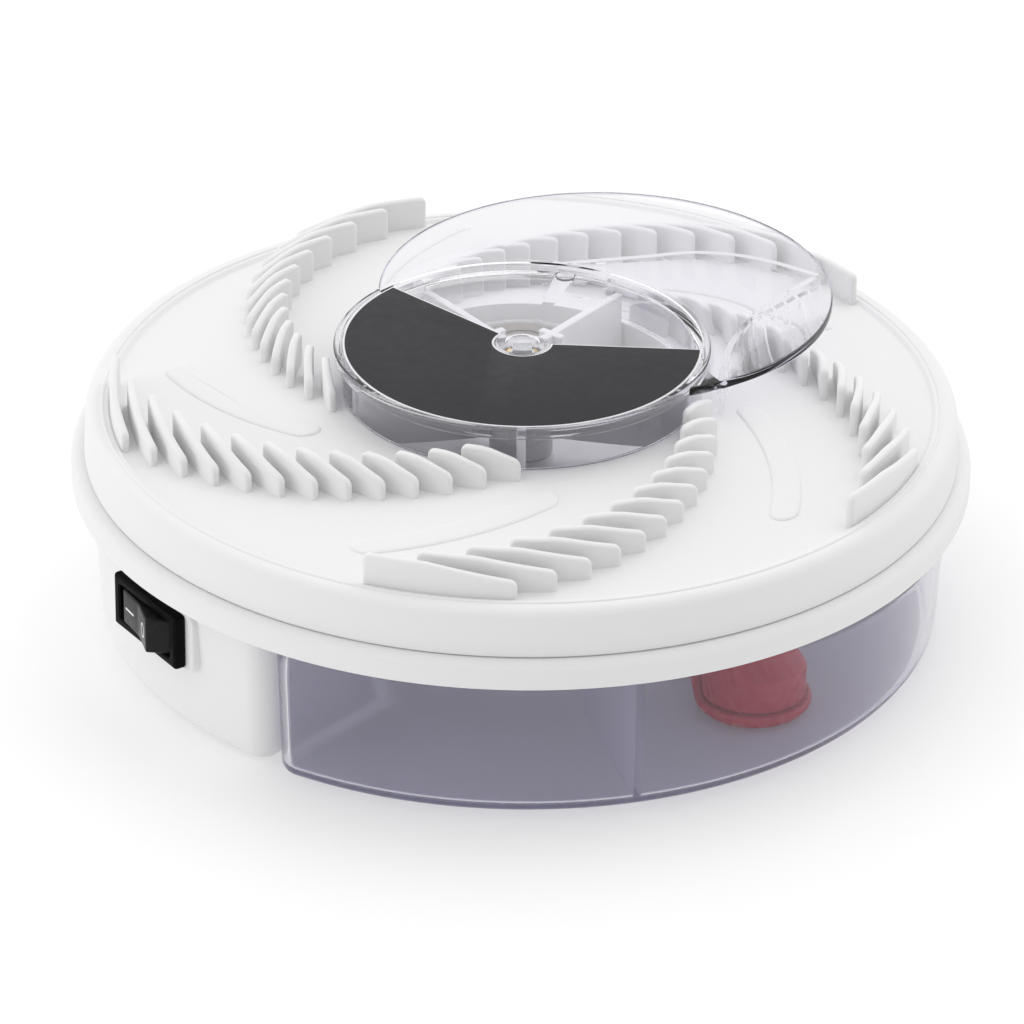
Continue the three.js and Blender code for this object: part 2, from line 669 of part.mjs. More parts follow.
function driveGear() {
  const blank = prism(gearOutline(gearTeeth, motorAngle), gearBottomZ, gearTopZ);
  const middle = cylinder(openingRadius + 0.3, gearBottomZ - 1, gearTopZ + 1, 0, 0, bigRound);
  const holes = gearScrewCentres.flatMap(([x, y]) => [
    cylinder(gearScrewRadius + 0.2, gearBottomZ - 1, gearTopZ + 1, x, y, pinRound),
    cylinder(gearScrewRadius * 2 + touchGap, gearBottomZ - 1, gearBottomZ + 1.6, x, y, pinRound),
  ]);
  return cut(blank, middle, ...holes);
}
add('drive_gear', driveGear(), acetal);

gearScrewCentres.forEach((centre, i) => add(`gear_screw_${i + 1}`,
  screw(gearScrewRadius, gearScrewRadius * 2, 1.1, gearBottomZ + 0.2, deckTopZ - deckThickness - 1.4,
    centre), steel));

function pinion() {
  const toothStart = motorAngle + Math.PI + Math.PI / pinionTeeth;
  const blank = prism(gearOutline(pinionTeeth, toothStart), gearBottomZ, gearTopZ)
    .translate([...motorCentre, 0]);
  return cut(blank, cylinder(motorShaftRadius + shaftClearance, gearBottomZ - 1, gearTopZ + 1,
    ...motorCentre));
}
add('pinion', pinion(), acetal);

const gearboxBottomZ = gearboxTopZ - gearboxHeight;
add('gearmotor_shaft', cylinder(motorShaftRadius, gearboxTopZ - 8, gearTopZ + 0.6, ...motorCentre),
  steel);

function gearbox() {
  const [x, y] = motorCentre;
  const can = cylinder(gearboxRadius, gearboxBottomZ, gearboxTopZ, x, y, 36);
  const nose = cylinder(4.8, gearboxTopZ - 0.5, gearboxTopZ + 4, x, y);
  const ears = motorEarCentres.map(([ex, ey]) => cylinder(3.4, gearboxTopZ - 2, gearboxTopZ, ex, ey));
  const strap = box(5, 2 * motorEarSpread, 2, -motorDistance, 0, gearboxTopZ - 1, drawerAngle);
  const bore = cylinder(motorShaftRadius + shaftClearance, gearboxTopZ - 9, gearboxTopZ + 5, x, y);
  const earHoles = motorEarCentres.map(([ex, ey]) => cylinder(
    smallScrewRadius + 0.2, gearboxTopZ - 4, gearboxTopZ + 2, ex, ey, pinRound));
  return cut(join(can, nose, ...ears, strap), bore, ...earHoles);
}
add('gearbox_case', gearbox(), { color: 0xc9ccd0, roughness: 0.35, metalness: 0.8 });

motorEarCentres.forEach((centre, i) => add(`motor_screw_${i + 1}`,
  screw(smallScrewRadius, smallScrewRadius * 2, 1.4, gearboxTopZ - 2 - 1.4 - touchGap,
    plateBottomZ - 1, centre), steel));

const canTopZ = gearboxBottomZ - touchGap;
const canBottomZ = canTopZ - motorCanHeight;
add('motor_can', cylinder(motorCanRadius, canBottomZ, canTopZ, ...motorCentre, 32), steel);

// ---------------------------------------------------------------- clear cover

function pathWall(points, z0, z1) {
  const curve = new THREE.CatmullRomCurve3(points.map(([x, y]) => new THREE.Vector3(x, y, 0)));
  const samples = curve.getPoints(3 * points.length);
  const side = (sign) => samples.map((p, i) => {
    const ahead = samples[Math.min(i + 1, samples.length - 1)];
    const behind = samples[Math.max(i - 1, 0)];
    const along = ahead.clone().sub(behind).normalize();
    return [p.x - sign * along.y * combWall / 2, p.y + sign * along.x * combWall / 2];
  });
  return prism([...side(-1), ...side(1).reverse()], z0, z1);
}

function cover() {
  const wallInner = coverRadius - coverWall;
  const rim = coverRadius + coverRimBead;
  const floor = coverTopZ - filmRecess;
  const drum = revolve([
    [0, coverBossBottomZ], [hubRingRadius - 0.5, coverBossBottomZ], [hubRingRadius - 0.3, coverUnderZ],
    [wallInner, coverUnderZ], [wallInner, coverBottomZ], [coverRadius, coverBottomZ],
    [coverRadius, visorUnderZ - 0.2], [rim - 0.3, visorUnderZ], [rim, visorUnderZ + 0.8],
    [rim, coverTopZ - 0.8], [rim - 0.5, coverTopZ], [coverRadius - 0.1, coverTopZ],
    [coverRadius - 0.3, floor], [hubRingRadius + 0.2, floor], [hubRingRadius, coverTopZ],
    [hubDimpleRadius, coverTopZ], [hubDimpleRadius - 0.2, coverTopZ - 0.9], [0, coverTopZ - 0.9],
  ]);
  const visorCentre = polar(visorOffset, visorAngle);
  const disc = cut(
    cylinder(visorRadius, visorUnderZ, visorTopZ, ...visorCentre, bigRound),
    cylinder(wallInner, visorUnderZ - 1, coverUnderZ, 0, 0, bigRound));
  const stopTab = cylinder(2.2, coverUnderZ - 0.7, coverUnderZ + 0.5,
    ...polar(wallInner - 1.4, degrees(75)), pinRound);

  // Two guide walls hang from the visor to the deck. The fins pass through their slots.
  const lowZ = deckEdgeZ - 2;
  const wallLift = patchHeight + combGap;
  const walls = [backGuidePath, sideGuidePath].map((path) => pathWall(
    path.map(([out, angle]) => polar(coverRadius + out, degrees(angle))), lowZ, visorUnderZ + 0.5));
  const visorReach = cylinder(visorRadius - 0.5, lowZ - 1, visorUnderZ + 1, ...visorCentre, bigRound);
  const deckSpace = revolve([
    [0, lowZ - 5], [deckRadius, lowZ - 5], [deckRadius, deckEdgeZ + wallLift],
    [deckInnerRadius, deckTopZ + wallLift], [0, deckTopZ + wallLift],
  ]);
  const finSpaces = finRadii.map((r) => tube(r - finThickness / 2 - combGap,
    r + finThickness / 2 + combGap, lowZ - 5, deckHeightAt(r) + finHeight + combGap));
  const guides = cut(join(...walls).intersect(visorReach), deckSpace, ...finSpaces);

  const entry = prism([
    ...arc(0, 0, coverRadius + 0.6, entryStart, entryEnd, 12),
    ...arc(0, 0, wallInner - 0.6, entryEnd, entryStart, 12),
  ], coverBottomZ - 1, visorUnderZ - 0.2);
  const keyGap = spindleKey + 2 * shaftClearance;
  const socket = box(keyGap, keyGap, coverUnderZ - coverBossBottomZ + 1, 0, 0,
    (coverUnderZ + coverBossBottomZ - 1) / 2);
  return cut(join(cut(drum, entry), disc, guides, stopTab), socket);
}
add('clear_cover', cover(), clearPlastic);

function windowFilm() {
  const cornerTurn = degrees(1.5);
  const hole = hubRingRadius + 0.8;
  const outline = [
    ...arc(0, 0, filmRadius, filmStart, filmEnd, 40),
    ...arc(0, 0, hole, filmEnd - cornerTurn, filmStart + cornerTurn, 14),
  ];
  const z0 = coverTopZ - filmRecess + 0.05;
  return prism(outline, z0, z0 + filmThickness);
}
add('window_film', windowFilm(), blackFilm);

// ---------------------------------------------------------------- drawer and bait pot

// Plan of the drawer in its own frame: the part of the circle beyond the back wall.
function drawerOutline(inset) {
  const r = housingBottomRadius - inset;
  const back = housingFront + drawerFrontGap + inset;
  const notch = drawerInset + inset;
  const notchAngle = Math.acos(back / notch);
  const round = drawerCornerRound - inset;
  const cornerX = back + round;
  const cornerY = Math.sqrt((r - round) ** 2 - cornerX ** 2);
  const cornerAngle = Math.atan2(cornerY, cornerX);
  return [
    ...arc(cornerX, -cornerY, round, Math.PI, 2 * Math.PI - cornerAngle, 5),
    ...arc(0, 0, r, -cornerAngle, cornerAngle, 22).slice(1, -1),
    ...arc(cornerX, cornerY, round, cornerAngle, Math.PI, 5),
    ...arc(0, 0, notch, notchAngle, -notchAngle, 10),
  ];
}

function drawer() {
  const lean = housingLean;
  const outer = roundedPrism(drawerOutline(0), drawerGroundGap, drawerTopZ,
    drawerBottomRound, lean, drawerAngle);
  const hollow = roundedPrism(drawerOutline(drawerWall), drawerGroundGap + drawerFloor,
    drawerTopZ + 2, drawerBottomRound - drawerWall, lean, drawerAngle);
  const reach = housingBottomRadius - drawerWall / 2;
  const startRadius = drawerInset + drawerWall / 2;
  const bottom = drawerGroundGap + drawerFloor - 0.5;
  const top = drawerTopZ - drawerDividerDrop;
  const divider = box(reach - startRadius, drawerWall, top - bottom,
    (reach + startRadius) / 2, 0, (top + bottom) / 2, drawerDividerAngle);
  return join(cut(outer, hollow), divider);
}
add('drawer_tray', drawer(), smokePlastic);

const potCentre = polar(housingBottomRadius - potInset, potAngle);
const potBottomZ = drawerGroundGap + drawerFloor + touchGap;

function baitCup() {
  const z = potBottomZ;
  return revolve([
    [0, z], [potRadius - 1.4, z], [potRadius - 0.3, z + 0.9], [potRadius, z + 2.2],
    [potRadius - 0.6, z + 3], [potLidRadius - 1.6, z + 3.2], [potLidRadius - 1.6, z + 1.6], [0, z + 1.6],
  ], smallRound).translate([...potCentre, 0]);
}
add('bait_cup', baitCup(), redPlastic);

function baitLid() {
  const z = potBottomZ + 3.5;
  const top = potBottomZ + potHeight;
  const r = potLidRadius;
  return revolve([
    [0, top - 2.2], [r - 3, top - 2.2], [r - 1.8, top - 3.2], [r - 1.8, z],
    [r, z], [r, top - 3], [r - 0.5, top - 1.4], [r - 1.8, top - 0.3], [r - 3, top],
    [r - 4.2, top - 0.1], [r - 4.8, top - 0.5], [0, top - 0.5],
  ], smallRound).translate([...potCentre, 0]);
}
add('bait_lid', baitLid(), redPlastic);

// ---------------------------------------------------------------- rocker switch

const bezelFaceY = -padPlane - 0.1 - bezelThickness;
const pivotY = bezelFaceY + rockerPivotDepth;
const pinHalfLength = wellHeight / 2 + switchShell - 0.15;

// Extrudes an outline drawn in X and Z towards -Y, ending at the plane y = face.
function plateFacing(outline, face, depth, bevel = 0) {
  const geometry = new THREE.ExtrudeGeometry(shapeOf(outline), {
    depth: depth - bevel, bevelEnabled: bevel > 0, bevelThickness: bevel, bevelSize: bevel,
    bevelOffset: -bevel, bevelSegments: 1,
  });
  return solid(geometry.rotateX(Math.PI / 2).translate(0, face + depth, 0));
}

function pinAcross(radius, half) {
  return cylinder(radius, switchZ - half, switchZ + half, 0, pivotY, pinRound);
}

function switchBody() {
  const bezel = plateFacing(roundedRectangle(bezelWidth, bezelHeight, 1, 0, switchZ, 2),
    bezelFaceY, bezelThickness, bezelChamfer);
  const behind = box(2 * bezelWidth, 10, 2 * bezelHeight, 0, bezelFaceY + bezelThickness + 5, switchZ);
  const shell = box(wellWidth + 2 * switchShell, switchDepth + 0.5, wellHeight + 2 * switchShell,
    0, bezelFaceY + bezelThickness + (switchDepth - 0.5) / 2, switchZ);
  const well = box(wellWidth, 2 * wellDepth, wellHeight, 0, bezelFaceY, switchZ);
  const pinBore = pinAcross(rockerPinRadius + shaftClearance, pinHalfLength + 0.5);
  return facing(cut(join(cut(bezel, behind), shell), well, pinBore), switchTurn);
}
add('switch_body', switchBody(), blackPlastic);

function rocker() {
  const heelX = wellWidth / 2 - 0.5;
  const crestX = heelX - 2.4;
  const crest = 5.8;
  const valley = 4.25;
  const outline = [
    [1.4 - heelX, 2.5], [-heelX, -0.8], [-crestX - 0.5, -crest + 0.3], [-crestX + 0.4, -crest],
    [0, -valley], [crestX - 0.4, -crest], [crestX + 0.5, -crest + 0.3], [heelX, -0.8], [heelX - 1.4, 2.5],
  ];
  const half = wellHeight / 2 - 0.25;
  const geometry = new THREE.ExtrudeGeometry(shapeOf(outline), { depth: 2 * half, bevelEnabled: false });
  geometry.translate(0, 0, -half).rotateZ(-rockerTilt).translate(0, pivotY, switchZ);
  const body = cut(solid(geometry), pinAcross(rockerPinRadius + shaftClearance, half + 1));
  return facing(body, switchTurn);
}
add('switch_rocker', rocker(), blackPlastic);
add('rocker_pin', facing(pinAcross(rockerPinRadius, pinHalfLength), switchTurn), steel);

const terminalStartY = bezelFaceY + bezelThickness + switchDepth - 0.25 + touchGap;
[-5, 5].forEach((x, i) => add(`switch_terminal_${i + 1}`,
  facing(box(4.8, 6, 0.8, x, terminalStartY + 3, switchZ), switchTurn), brass));

// ---------------------------------------------------------------- power jack, board and wires

const jackFaceY = -housingBottomRadius - 1.4;
const jackTurn = jackAngle + Math.PI / 2;

function barrelFacing(radius, face, length, sides = smallRound) {
  return solid(new THREE.CylinderGeometry(radius, radius, length, sides)
    .translate(0, face + length / 2, jackZ));
}

function jack() {
  const barrel = barrelFacing(jackRadius, jackFaceY, jackLength);
  const bore = barrelFacing(jackBore, jackFaceY - 1, jackLength - 3);
  const pinHole = barrelFacing(jackPinRadius + shaftClearance, jackFaceY, jackLength + 2, pinRound);
  return facing(cut(barrel, bore, pinHole), jackTurn);
}
add('dc_jack', jack(), blackPlastic);
add('dc_jack_pin', facing(barrelFacing(jackPinRadius, jackFaceY + 2, jackLength, pinRound), jackTurn),
  brass);

function board() {
  const [x, y] = boardCentre;
  const plate = box(boardLength, boardWidth, boardThickness, x, y, boardBottomZ + boardThickness / 2, drawerAngle);
  const holes = boardScrewCentres.map(([hx, hy]) => cylinder(
    smallScrewRadius + 0.2, boardBottomZ - 1, boardBottomZ + boardThickness + 1, hx, hy, pinRound));
  return cut(plate, ...holes);
}
add('circuit_board', board(), boardGreen);

boardScrewCentres.forEach(([x, y], i) => {
  const seat = boardBottomZ + boardThickness + touchGap;
  const body = join(cylinder(smallScrewRadius * 2, seat, seat + 1.3, x, y, pinRound),
    cylinder(smallScrewRadius, housingFloorZ + 1, seat + 0.3, x, y, pinRound));
  add(`board_screw_${i + 1}`, body, steel);
});

const boardTopZ = boardBottomZ + boardThickness;
const [capX, capY] = fromDrawerFrame([boardCentre[0], boardCentre[1] + 4.6, 0]);
add('board_capacitor', cylinder(3, boardTopZ + touchGap, boardTopZ + 9, capX, capY), blackPlastic);
add('board_chip', box(5, 4, 1.6, boardCentre[0], boardCentre[1] - 4.5,
  boardTopZ + touchGap + 0.8, drawerAngle), blackPlastic);

const jackEndRadius = -jackFaceY - 2 - jackLength;
const supplyRoute = [
  [...polar(jackEndRadius - 0.6, jackAngle - drawerAngle), jackZ], [-69.5, 24.5, jackZ - 1.5],
  [-72.5, 18.5, jackZ - 4], [-78, 8, jackZ - 4.5], [-79, -6, jackZ - 4], [-77, -17, jackZ - 2],
  [-73.5, -24, jackZ - 1.5], [-71, -29.5, boardTopZ + 1.5],
];
const motorRoute = [
  [-55, -29.5, boardTopZ + 3], [-55, -25, boardTopZ + 4], [-54.5, -19, boardTopZ + 2],
  [-54, -motorCanRadius - 0.6, boardTopZ + 1.5],
];
const switchRoute = [
  [-51, -42.5, boardTopZ + 2], [-46, -48, boardTopZ + 4], [-36, -56, switchZ - 6],
  [-26, -61.5, switchZ - 2], [-20.5, -64.5, switchZ - 1.6],
];
add('wire_supply', wireAlong(supplyRoute.map(fromDrawerFrame)), redWire);
add('wire_motor', wireAlong(motorRoute.map(fromDrawerFrame)), blackWire);
add('wire_switch', wireAlong(switchRoute.map(fromDrawerFrame)), redWire);

export default trap;
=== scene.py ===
"""Looks of the electric rotating fly trap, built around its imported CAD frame. Sizes are in millimetres."""

import json
import math

import bmesh
import bpy
from mathutils import Matrix, Vector


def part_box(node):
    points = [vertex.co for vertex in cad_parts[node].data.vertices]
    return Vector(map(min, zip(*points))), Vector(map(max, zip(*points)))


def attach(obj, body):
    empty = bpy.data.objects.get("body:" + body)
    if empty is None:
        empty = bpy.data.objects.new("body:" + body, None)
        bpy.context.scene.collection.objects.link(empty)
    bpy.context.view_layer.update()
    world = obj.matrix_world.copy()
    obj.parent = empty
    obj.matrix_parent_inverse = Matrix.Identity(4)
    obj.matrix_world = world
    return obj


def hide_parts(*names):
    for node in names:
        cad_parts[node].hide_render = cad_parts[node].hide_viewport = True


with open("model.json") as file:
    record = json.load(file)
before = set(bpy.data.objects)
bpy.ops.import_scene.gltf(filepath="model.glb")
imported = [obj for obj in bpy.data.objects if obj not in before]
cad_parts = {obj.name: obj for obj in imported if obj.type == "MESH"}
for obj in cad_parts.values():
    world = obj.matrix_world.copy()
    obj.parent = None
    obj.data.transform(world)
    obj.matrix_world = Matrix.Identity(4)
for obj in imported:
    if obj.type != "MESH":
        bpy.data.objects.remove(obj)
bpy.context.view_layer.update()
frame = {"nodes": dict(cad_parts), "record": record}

MM = 0.001


def box_mm(node):
    low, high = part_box(node)
    return [c / MM for c in low], [c / MM for c in high]


def rad(angle):
    return math.radians(angle)


def polar(r, angle):
    return (r * math.cos(angle), r * math.sin(angle))


# ------------------------------------------------------------------ sizes taken from the frame

deck_low, deck_high = box_mm("base_deck")
table_low, table_high = box_mm("turntable")
cover_high = box_mm("clear_cover")[1]
tray_low, tray_high = box_mm("drawer_tray")
house_low, house_high = box_mm("base_housing")
cup_low, cup_high = box_mm("bait_cup")
lid_low, lid_high = box_mm("bait_lid")
hub_low, hub_high = box_mm("vane_rotor")

FLANGE_R = deck_high[0]
TABLE_R = table_high[0]
TABLE_Z = table_low[2]
HOUSE_TOP_Z = house_high[2]
HOUSE_Z = house_low[2]
COVER_TOP_Z = cover_high[2] - 0.005
TRAY_Z, TRAY_TOP_Z = tray_low[2], tray_high[2]

PLATE_TOP_Z = 40.6
PLATE_UNDER_Z = 38.4
FLANGE_Z = 34.4
SPINDLE_FOOT_Z = deck_low[2]
BOSS_TOP_Z = deck_high[2]
RIM_TOP_Z = TABLE_Z + 10.4
DECK_FALL = 3.5
DECK_R = 90.7
DECK_EDGE_Z = RIM_TOP_Z - 0.8
DECK_TOP_Z = DECK_EDGE_Z + DECK_FALL
DECK_INNER_R = 40.5
OPENING_R = 38.0
SEAT_TOP_Z = 47.8
COVER_R = 40.2
COVER_BOTTOM_Z = DECK_TOP_Z + 0.3
VISOR_UNDER_Z = COVER_TOP_Z - 2.5
VISOR_TOP_Z = COVER_TOP_Z - 0.5
COVER_UNDER_Z = COVER_TOP_Z - 2
VANE_TOP_Z = hub_high[2]
HUB_TOP_Z = VANE_TOP_Z - 3

DRAWER_TURN = rad(-40)
HOUSE_R = 93.7
HOUSE_LEAN = 2.0 / HOUSE_R / (HOUSE_TOP_Z - HOUSE_Z)
HOUSE_WALL = 2.2
HOUSE_FRONT = 8
HOUSE_CORNER_R = 5
BULGE_R = 15.5
SCREW_PLACES = [polar(HOUSE_R - 11.5, DRAWER_TURN + rad(a)) for a in (92, 140, -140, -92)]
SCREW_POST_R = 4
FEET = ("foot_1", "foot_2", "foot_3")

DRAWER_BACK = HOUSE_FRONT + 1.3
DRAWER_CORNER_R = 5
DRAWER_NOTCH_R = 17
DRAWER_WALL = 1.8

FIN_RADII = [43.4 + i * 3.9 for i in range(13)]
FIN_HEIGHT = 7.6
FIN_SHORTEST = 13
FIN_GROWTH = 20
FIN_DROP = 3.1
FIN_END_R = 1.5
ROW_TURNS = [rad(54 + 72 * row) for row in range(5)]

COVER_WALL = 1.8
VISOR_R = 51
FIN_CLEARANCE = 0.5

SWITCH_TURN = rad(214.7) + math.pi / 2
SWITCH_Z = 25.0
BEZEL_FACE_Y = -98.3
PIVOT_Y = BEZEL_FACE_Y + 4

SIDES = 192


def deck_z(r):
    return DECK_TOP_Z - DECK_FALL * min(1.0, max(0.0, (r - DECK_INNER_R) / (DECK_R - DECK_INNER_R)))


# ------------------------------------------------------------------ mesh helpers

def arc(x, y, r, a0, a1, steps):
    return [
        (x + r * math.cos(a0 + (a1 - a0) * i / steps), y + r * math.sin(a0 + (a1 - a0) * i / steps))
        for i in range(steps + 1)
    ]


def rounded(points, radii, inset=0.0, steps=4, spacing=1e9, closed=True):
    """A polygon with round corners, moved in by inset. It always gives the same number of points."""
    n = len(points)
    if not isinstance(radii, (list, tuple)):
        radii = [radii] * n
    lines = []
    for i in range(n if closed else n - 1):
        a, b = Vector(points[i]), Vector(points[(i + 1) % n])
        d = (b - a).normalized()
        normal = Vector((-d.y, d.x))
        lines.append((a + normal * inset, d, (b - a).length))
    corners = []
    for i in range(n):
        if not closed and i in (0, n - 1):
            p = lines[0][0] if i == 0 else lines[-1][0] + lines[-1][1] * lines[-1][2]
            corners.append([p])
            continue
        p0, d0, _ = lines[i - 1]
        p1, d1, _ = lines[i]
        cross = d0.x * d1.y - d0.y * d1.x
        if abs(cross) < 1e-6:
            corners.append([p1] * (steps + 1))
            continue
        t = ((p1.x - p0.x) * d1.y - (p1.y - p0.y) * d1.x) / cross
        corner = p0 + d0 * t
        r = max(radii[i] - inset, 0.03) if cross > 0 else max(radii[i] + inset, 0.03)
        turn = math.atan2(cross, d0.dot(d1))
        cut = r * math.tan(abs(turn) / 2)
        start = corner - d0 * cut
        side = 1 if cross > 0 else -1
        centre = start + Vector((-d0.y, d0.x)) * r * side
        a0 = math.atan2(start.y - centre.y, start.x - centre.x)
        angles = [a0 + turn * k / steps for k in range(steps + 1)]
        corners.append([Vector((centre.x + r * math.cos(a), centre.y + r * math.sin(a))) for a in angles])
    out = []
    for i in range(n):
        out.extend(corners[i])
        if i < len(lines):
            count = max(1, round(lines[i][2] / spacing))
            a, b = corners[i][-1], corners[(i + 1) % n][0]
            out.extend(a.lerp(b, k / count) for k in range(1, count))
    return [(p.x, p.y) for p in out]


def make(name, verts, faces, angle=32):
    mesh = bpy.data.meshes.new(name)
    mesh.from_pydata([Vector(v) * MM for v in verts], [], faces)
    mesh.validate()
    ob = bpy.data.objects.new(name, mesh)
    bpy.context.scene.collection.objects.link(ob)
    clean(ob, angle)
    return ob


def clean(ob, angle=32):
    """Faces point out, near vertices merge, and edges sharper than angle stay crisp."""
    bm = bmesh.new()
    bm.from_mesh(ob.data)
    bmesh.ops.remove_doubles(bm, verts=bm.verts, dist=1e-6)
    bmesh.ops.dissolve_degenerate(bm, edges=bm.edges, dist=1e-7)
    bmesh.ops.recalc_face_normals(bm, faces=bm.faces)
    limit = rad(angle)
    for edge in bm.edges:
        edge.smooth = len(edge.link_faces) == 2 and edge.calc_face_angle(0) < limit
    for face in bm.faces:
        face.smooth = True
    bm.to_mesh(ob.data)
    bm.free()
    ob.data.update()


def lathe(name, profile, sides=SIDES, ring=False, angle=32):
    """Solid of revolution of (radius, z) points. A ring closes on itself; others run from axis to axis."""
    verts, faces, rows = [], [], []
    for r, z in profile:
        if r < 1e-6:
            rows.append([len(verts)] * sides)
            verts.append((0, 0, z))
        else:
            rows.append(list(range(len(verts), len(verts) + sides)))
            verts.extend((*polar(r, 2 * math.pi * k / sides), z) for k in range(sides))
    pairs = list(zip(rows, rows[1:])) + ([(rows[-1], rows[0])] if ring else [])
    for a, b in pairs:
        for k in range(sides):
            m = (k + 1) % sides
            face = []
            for v in (a[k], a[m], b[m], b[k]):
                if v not in face:
                    face.append(v)
            if len(face) > 2:
                faces.append(face)
    return make(name, verts, faces, angle)


def loft(name, rings, angle=32, closed=False):
    """Skin through rings of equal count. The first and last ring are capped, or joined if closed."""
    n = len(rings[0])
    verts = [p for ring in rings for p in ring]
    faces = []
    count = len(rings)
    for i in range(count if closed else count - 1):
        a, b = i * n, ((i + 1) % count) * n
        faces.extend([a + k, a + (k + 1) % n, b + (k + 1) % n, b + k] for k in range(n))
    if not closed:
        faces.append(list(range(n))[::-1])
        faces.append([(count - 1) * n + k for k in range(n)])
    return make(name, verts, faces, angle)


def join(name, parts):
    """One object from several, without a boolean."""
    bm = bmesh.new()
    for ob in parts:
        bm.from_mesh(ob.data)
    mesh = bpy.data.meshes.new(name)
    bm.to_mesh(mesh)
    bm.free()
    for ob in parts:
        bpy.data.objects.remove(ob)
    ob = bpy.data.objects.new(name, mesh)
    bpy.context.scene.collection.objects.link(ob)
    return ob


def boolean(target, operation, tool):
    modifier = target.modifiers.new("boolean", "BOOLEAN")
    modifier.operation = operation
    modifier.solver = "MANIFOLD"
    modifier.object = tool
    graph = bpy.context.evaluated_depsgraph_get()
    result = bpy.data.meshes.new_from_object(target.evaluated_get(graph))
    target.modifiers.clear()
    target.data = result
    bpy.data.objects.remove(tool)
    return target


def add(target, tool):
    return boolean(target, "UNION", tool)


def cut(target, tool):
    return boolean(target, "DIFFERENCE", tool)


def turned(ob, angle):
    ob.data.transform(Matrix.Rotation(angle, 4, "Z"))
    return ob


def moved(ob, x, y, z=0):
    ob.data.transform(Matrix.Translation(Vector((x, y, z)) * MM))
    return ob


def disc(name, r, z0, z1, x=0, y=0, edge=0.0, sides=48):
    """Short cylinder with rounded rims."""
    if edge > 0:
        profile = [(0, z0)] + arc(r - edge, z0 + edge, edge, -math.pi / 2, 0, 4)
        profile += arc(r - edge, z1 - edge, edge, 0, math.pi / 2, 4) + [(0, z1)]
    else:
        profile = [(0, z0), (r, z0), (r, z1), (0, z1)]
    return moved(lathe(name, profile, sides), x, y)


def slab(name, outline, z0, z1, edge=0.0):
    """Prism over outline(inset), with rounded top and bottom rims."""
    steps = 3
    if edge > 0:
        lower = []
        for k in range(steps + 1):
            a = math.pi / 2 * k / steps
            inset, z = edge * (1 - math.sin(a)), z0 + edge * (1 - math.cos(a))
            lower.append([(x, y, z) for x, y in outline(inset)])
        upper = [[(x, y, z1 - (z - z0)) for x, y, z in ring] for ring in lower[::-1]]
        rings = lower + upper
    else:
        rings = [[(x, y, z) for x, y in outline(0.0)] for z in (z0, z1)]
    return loft(name, rings)


def rectangle(w, h, x=0.0, y=0.0):
    return [(x - w / 2, y - h / 2), (x + w / 2, y - h / 2), (x + w / 2, y + h / 2), (x - w / 2, y + h / 2)]


def block(name, w, d, h, x, y, z, edge=0.0, corner=0.0, turn=0.0):
    base = rectangle(w, d, x, y)
    ob = slab(name, lambda i: rounded(base, max(corner, edge), i, 3), z - h / 2, z + h / 2, edge)
    return turned(ob, turn)


def facing(ob):
    """Stand a piece that is drawn in X and Y up against the wall that faces -Y, and turn it to the switch."""
    ob.data.transform(Matrix.Rotation(SWITCH_TURN, 4, "Z") @ Matrix.Rotation(math.pi / 2, 4, "X"))
    return ob


# ------------------------------------------------------------------ materials

def nodes_of(name):
    material = bpy.data.materials.new(name)
    material.use_nodes = True
    tree = material.node_tree
    tree.nodes.clear()
    return material, tree.nodes, tree.links


def noise(nodes, links, coordinates, scale, detail=3.0):
    node = nodes.new("ShaderNodeTexNoise")
    node.inputs["Scale"].default_value = scale
    node.inputs["Detail"].default_value = detail
    node.inputs["Roughness"].default_value = 0.5
    links.new(coordinates, node.inputs["Vector"])
    return node.outputs["Fac"]


def spread(nodes, links, source, low, high, from_low=0.3, from_high=0.7):
    node = nodes.new("ShaderNodeMapRange")
    node.inputs["From Min"].default_value = from_low
    node.inputs["From Max"].default_value = from_high
    node.inputs["To Min"].default_value = low
    node.inputs["To Max"].default_value = high
    links.new(source, node.inputs["Value"])
    return node.outputs["Result"]


def blend(nodes, links, factor, a, b):
    node = nodes.new("ShaderNodeMix")
    node.data_type = "RGBA"
    node.inputs["A"].default_value = (*a, 1)
    node.inputs["B"].default_value = (*b, 1)
    links.new(factor, node.inputs["Factor"])
    return node.outputs["Result"]


CLOUD_SCALE = 55.0
CLEAR_CLOUD_SCALE = 30.0
ROUGH_SPREAD = 0.05


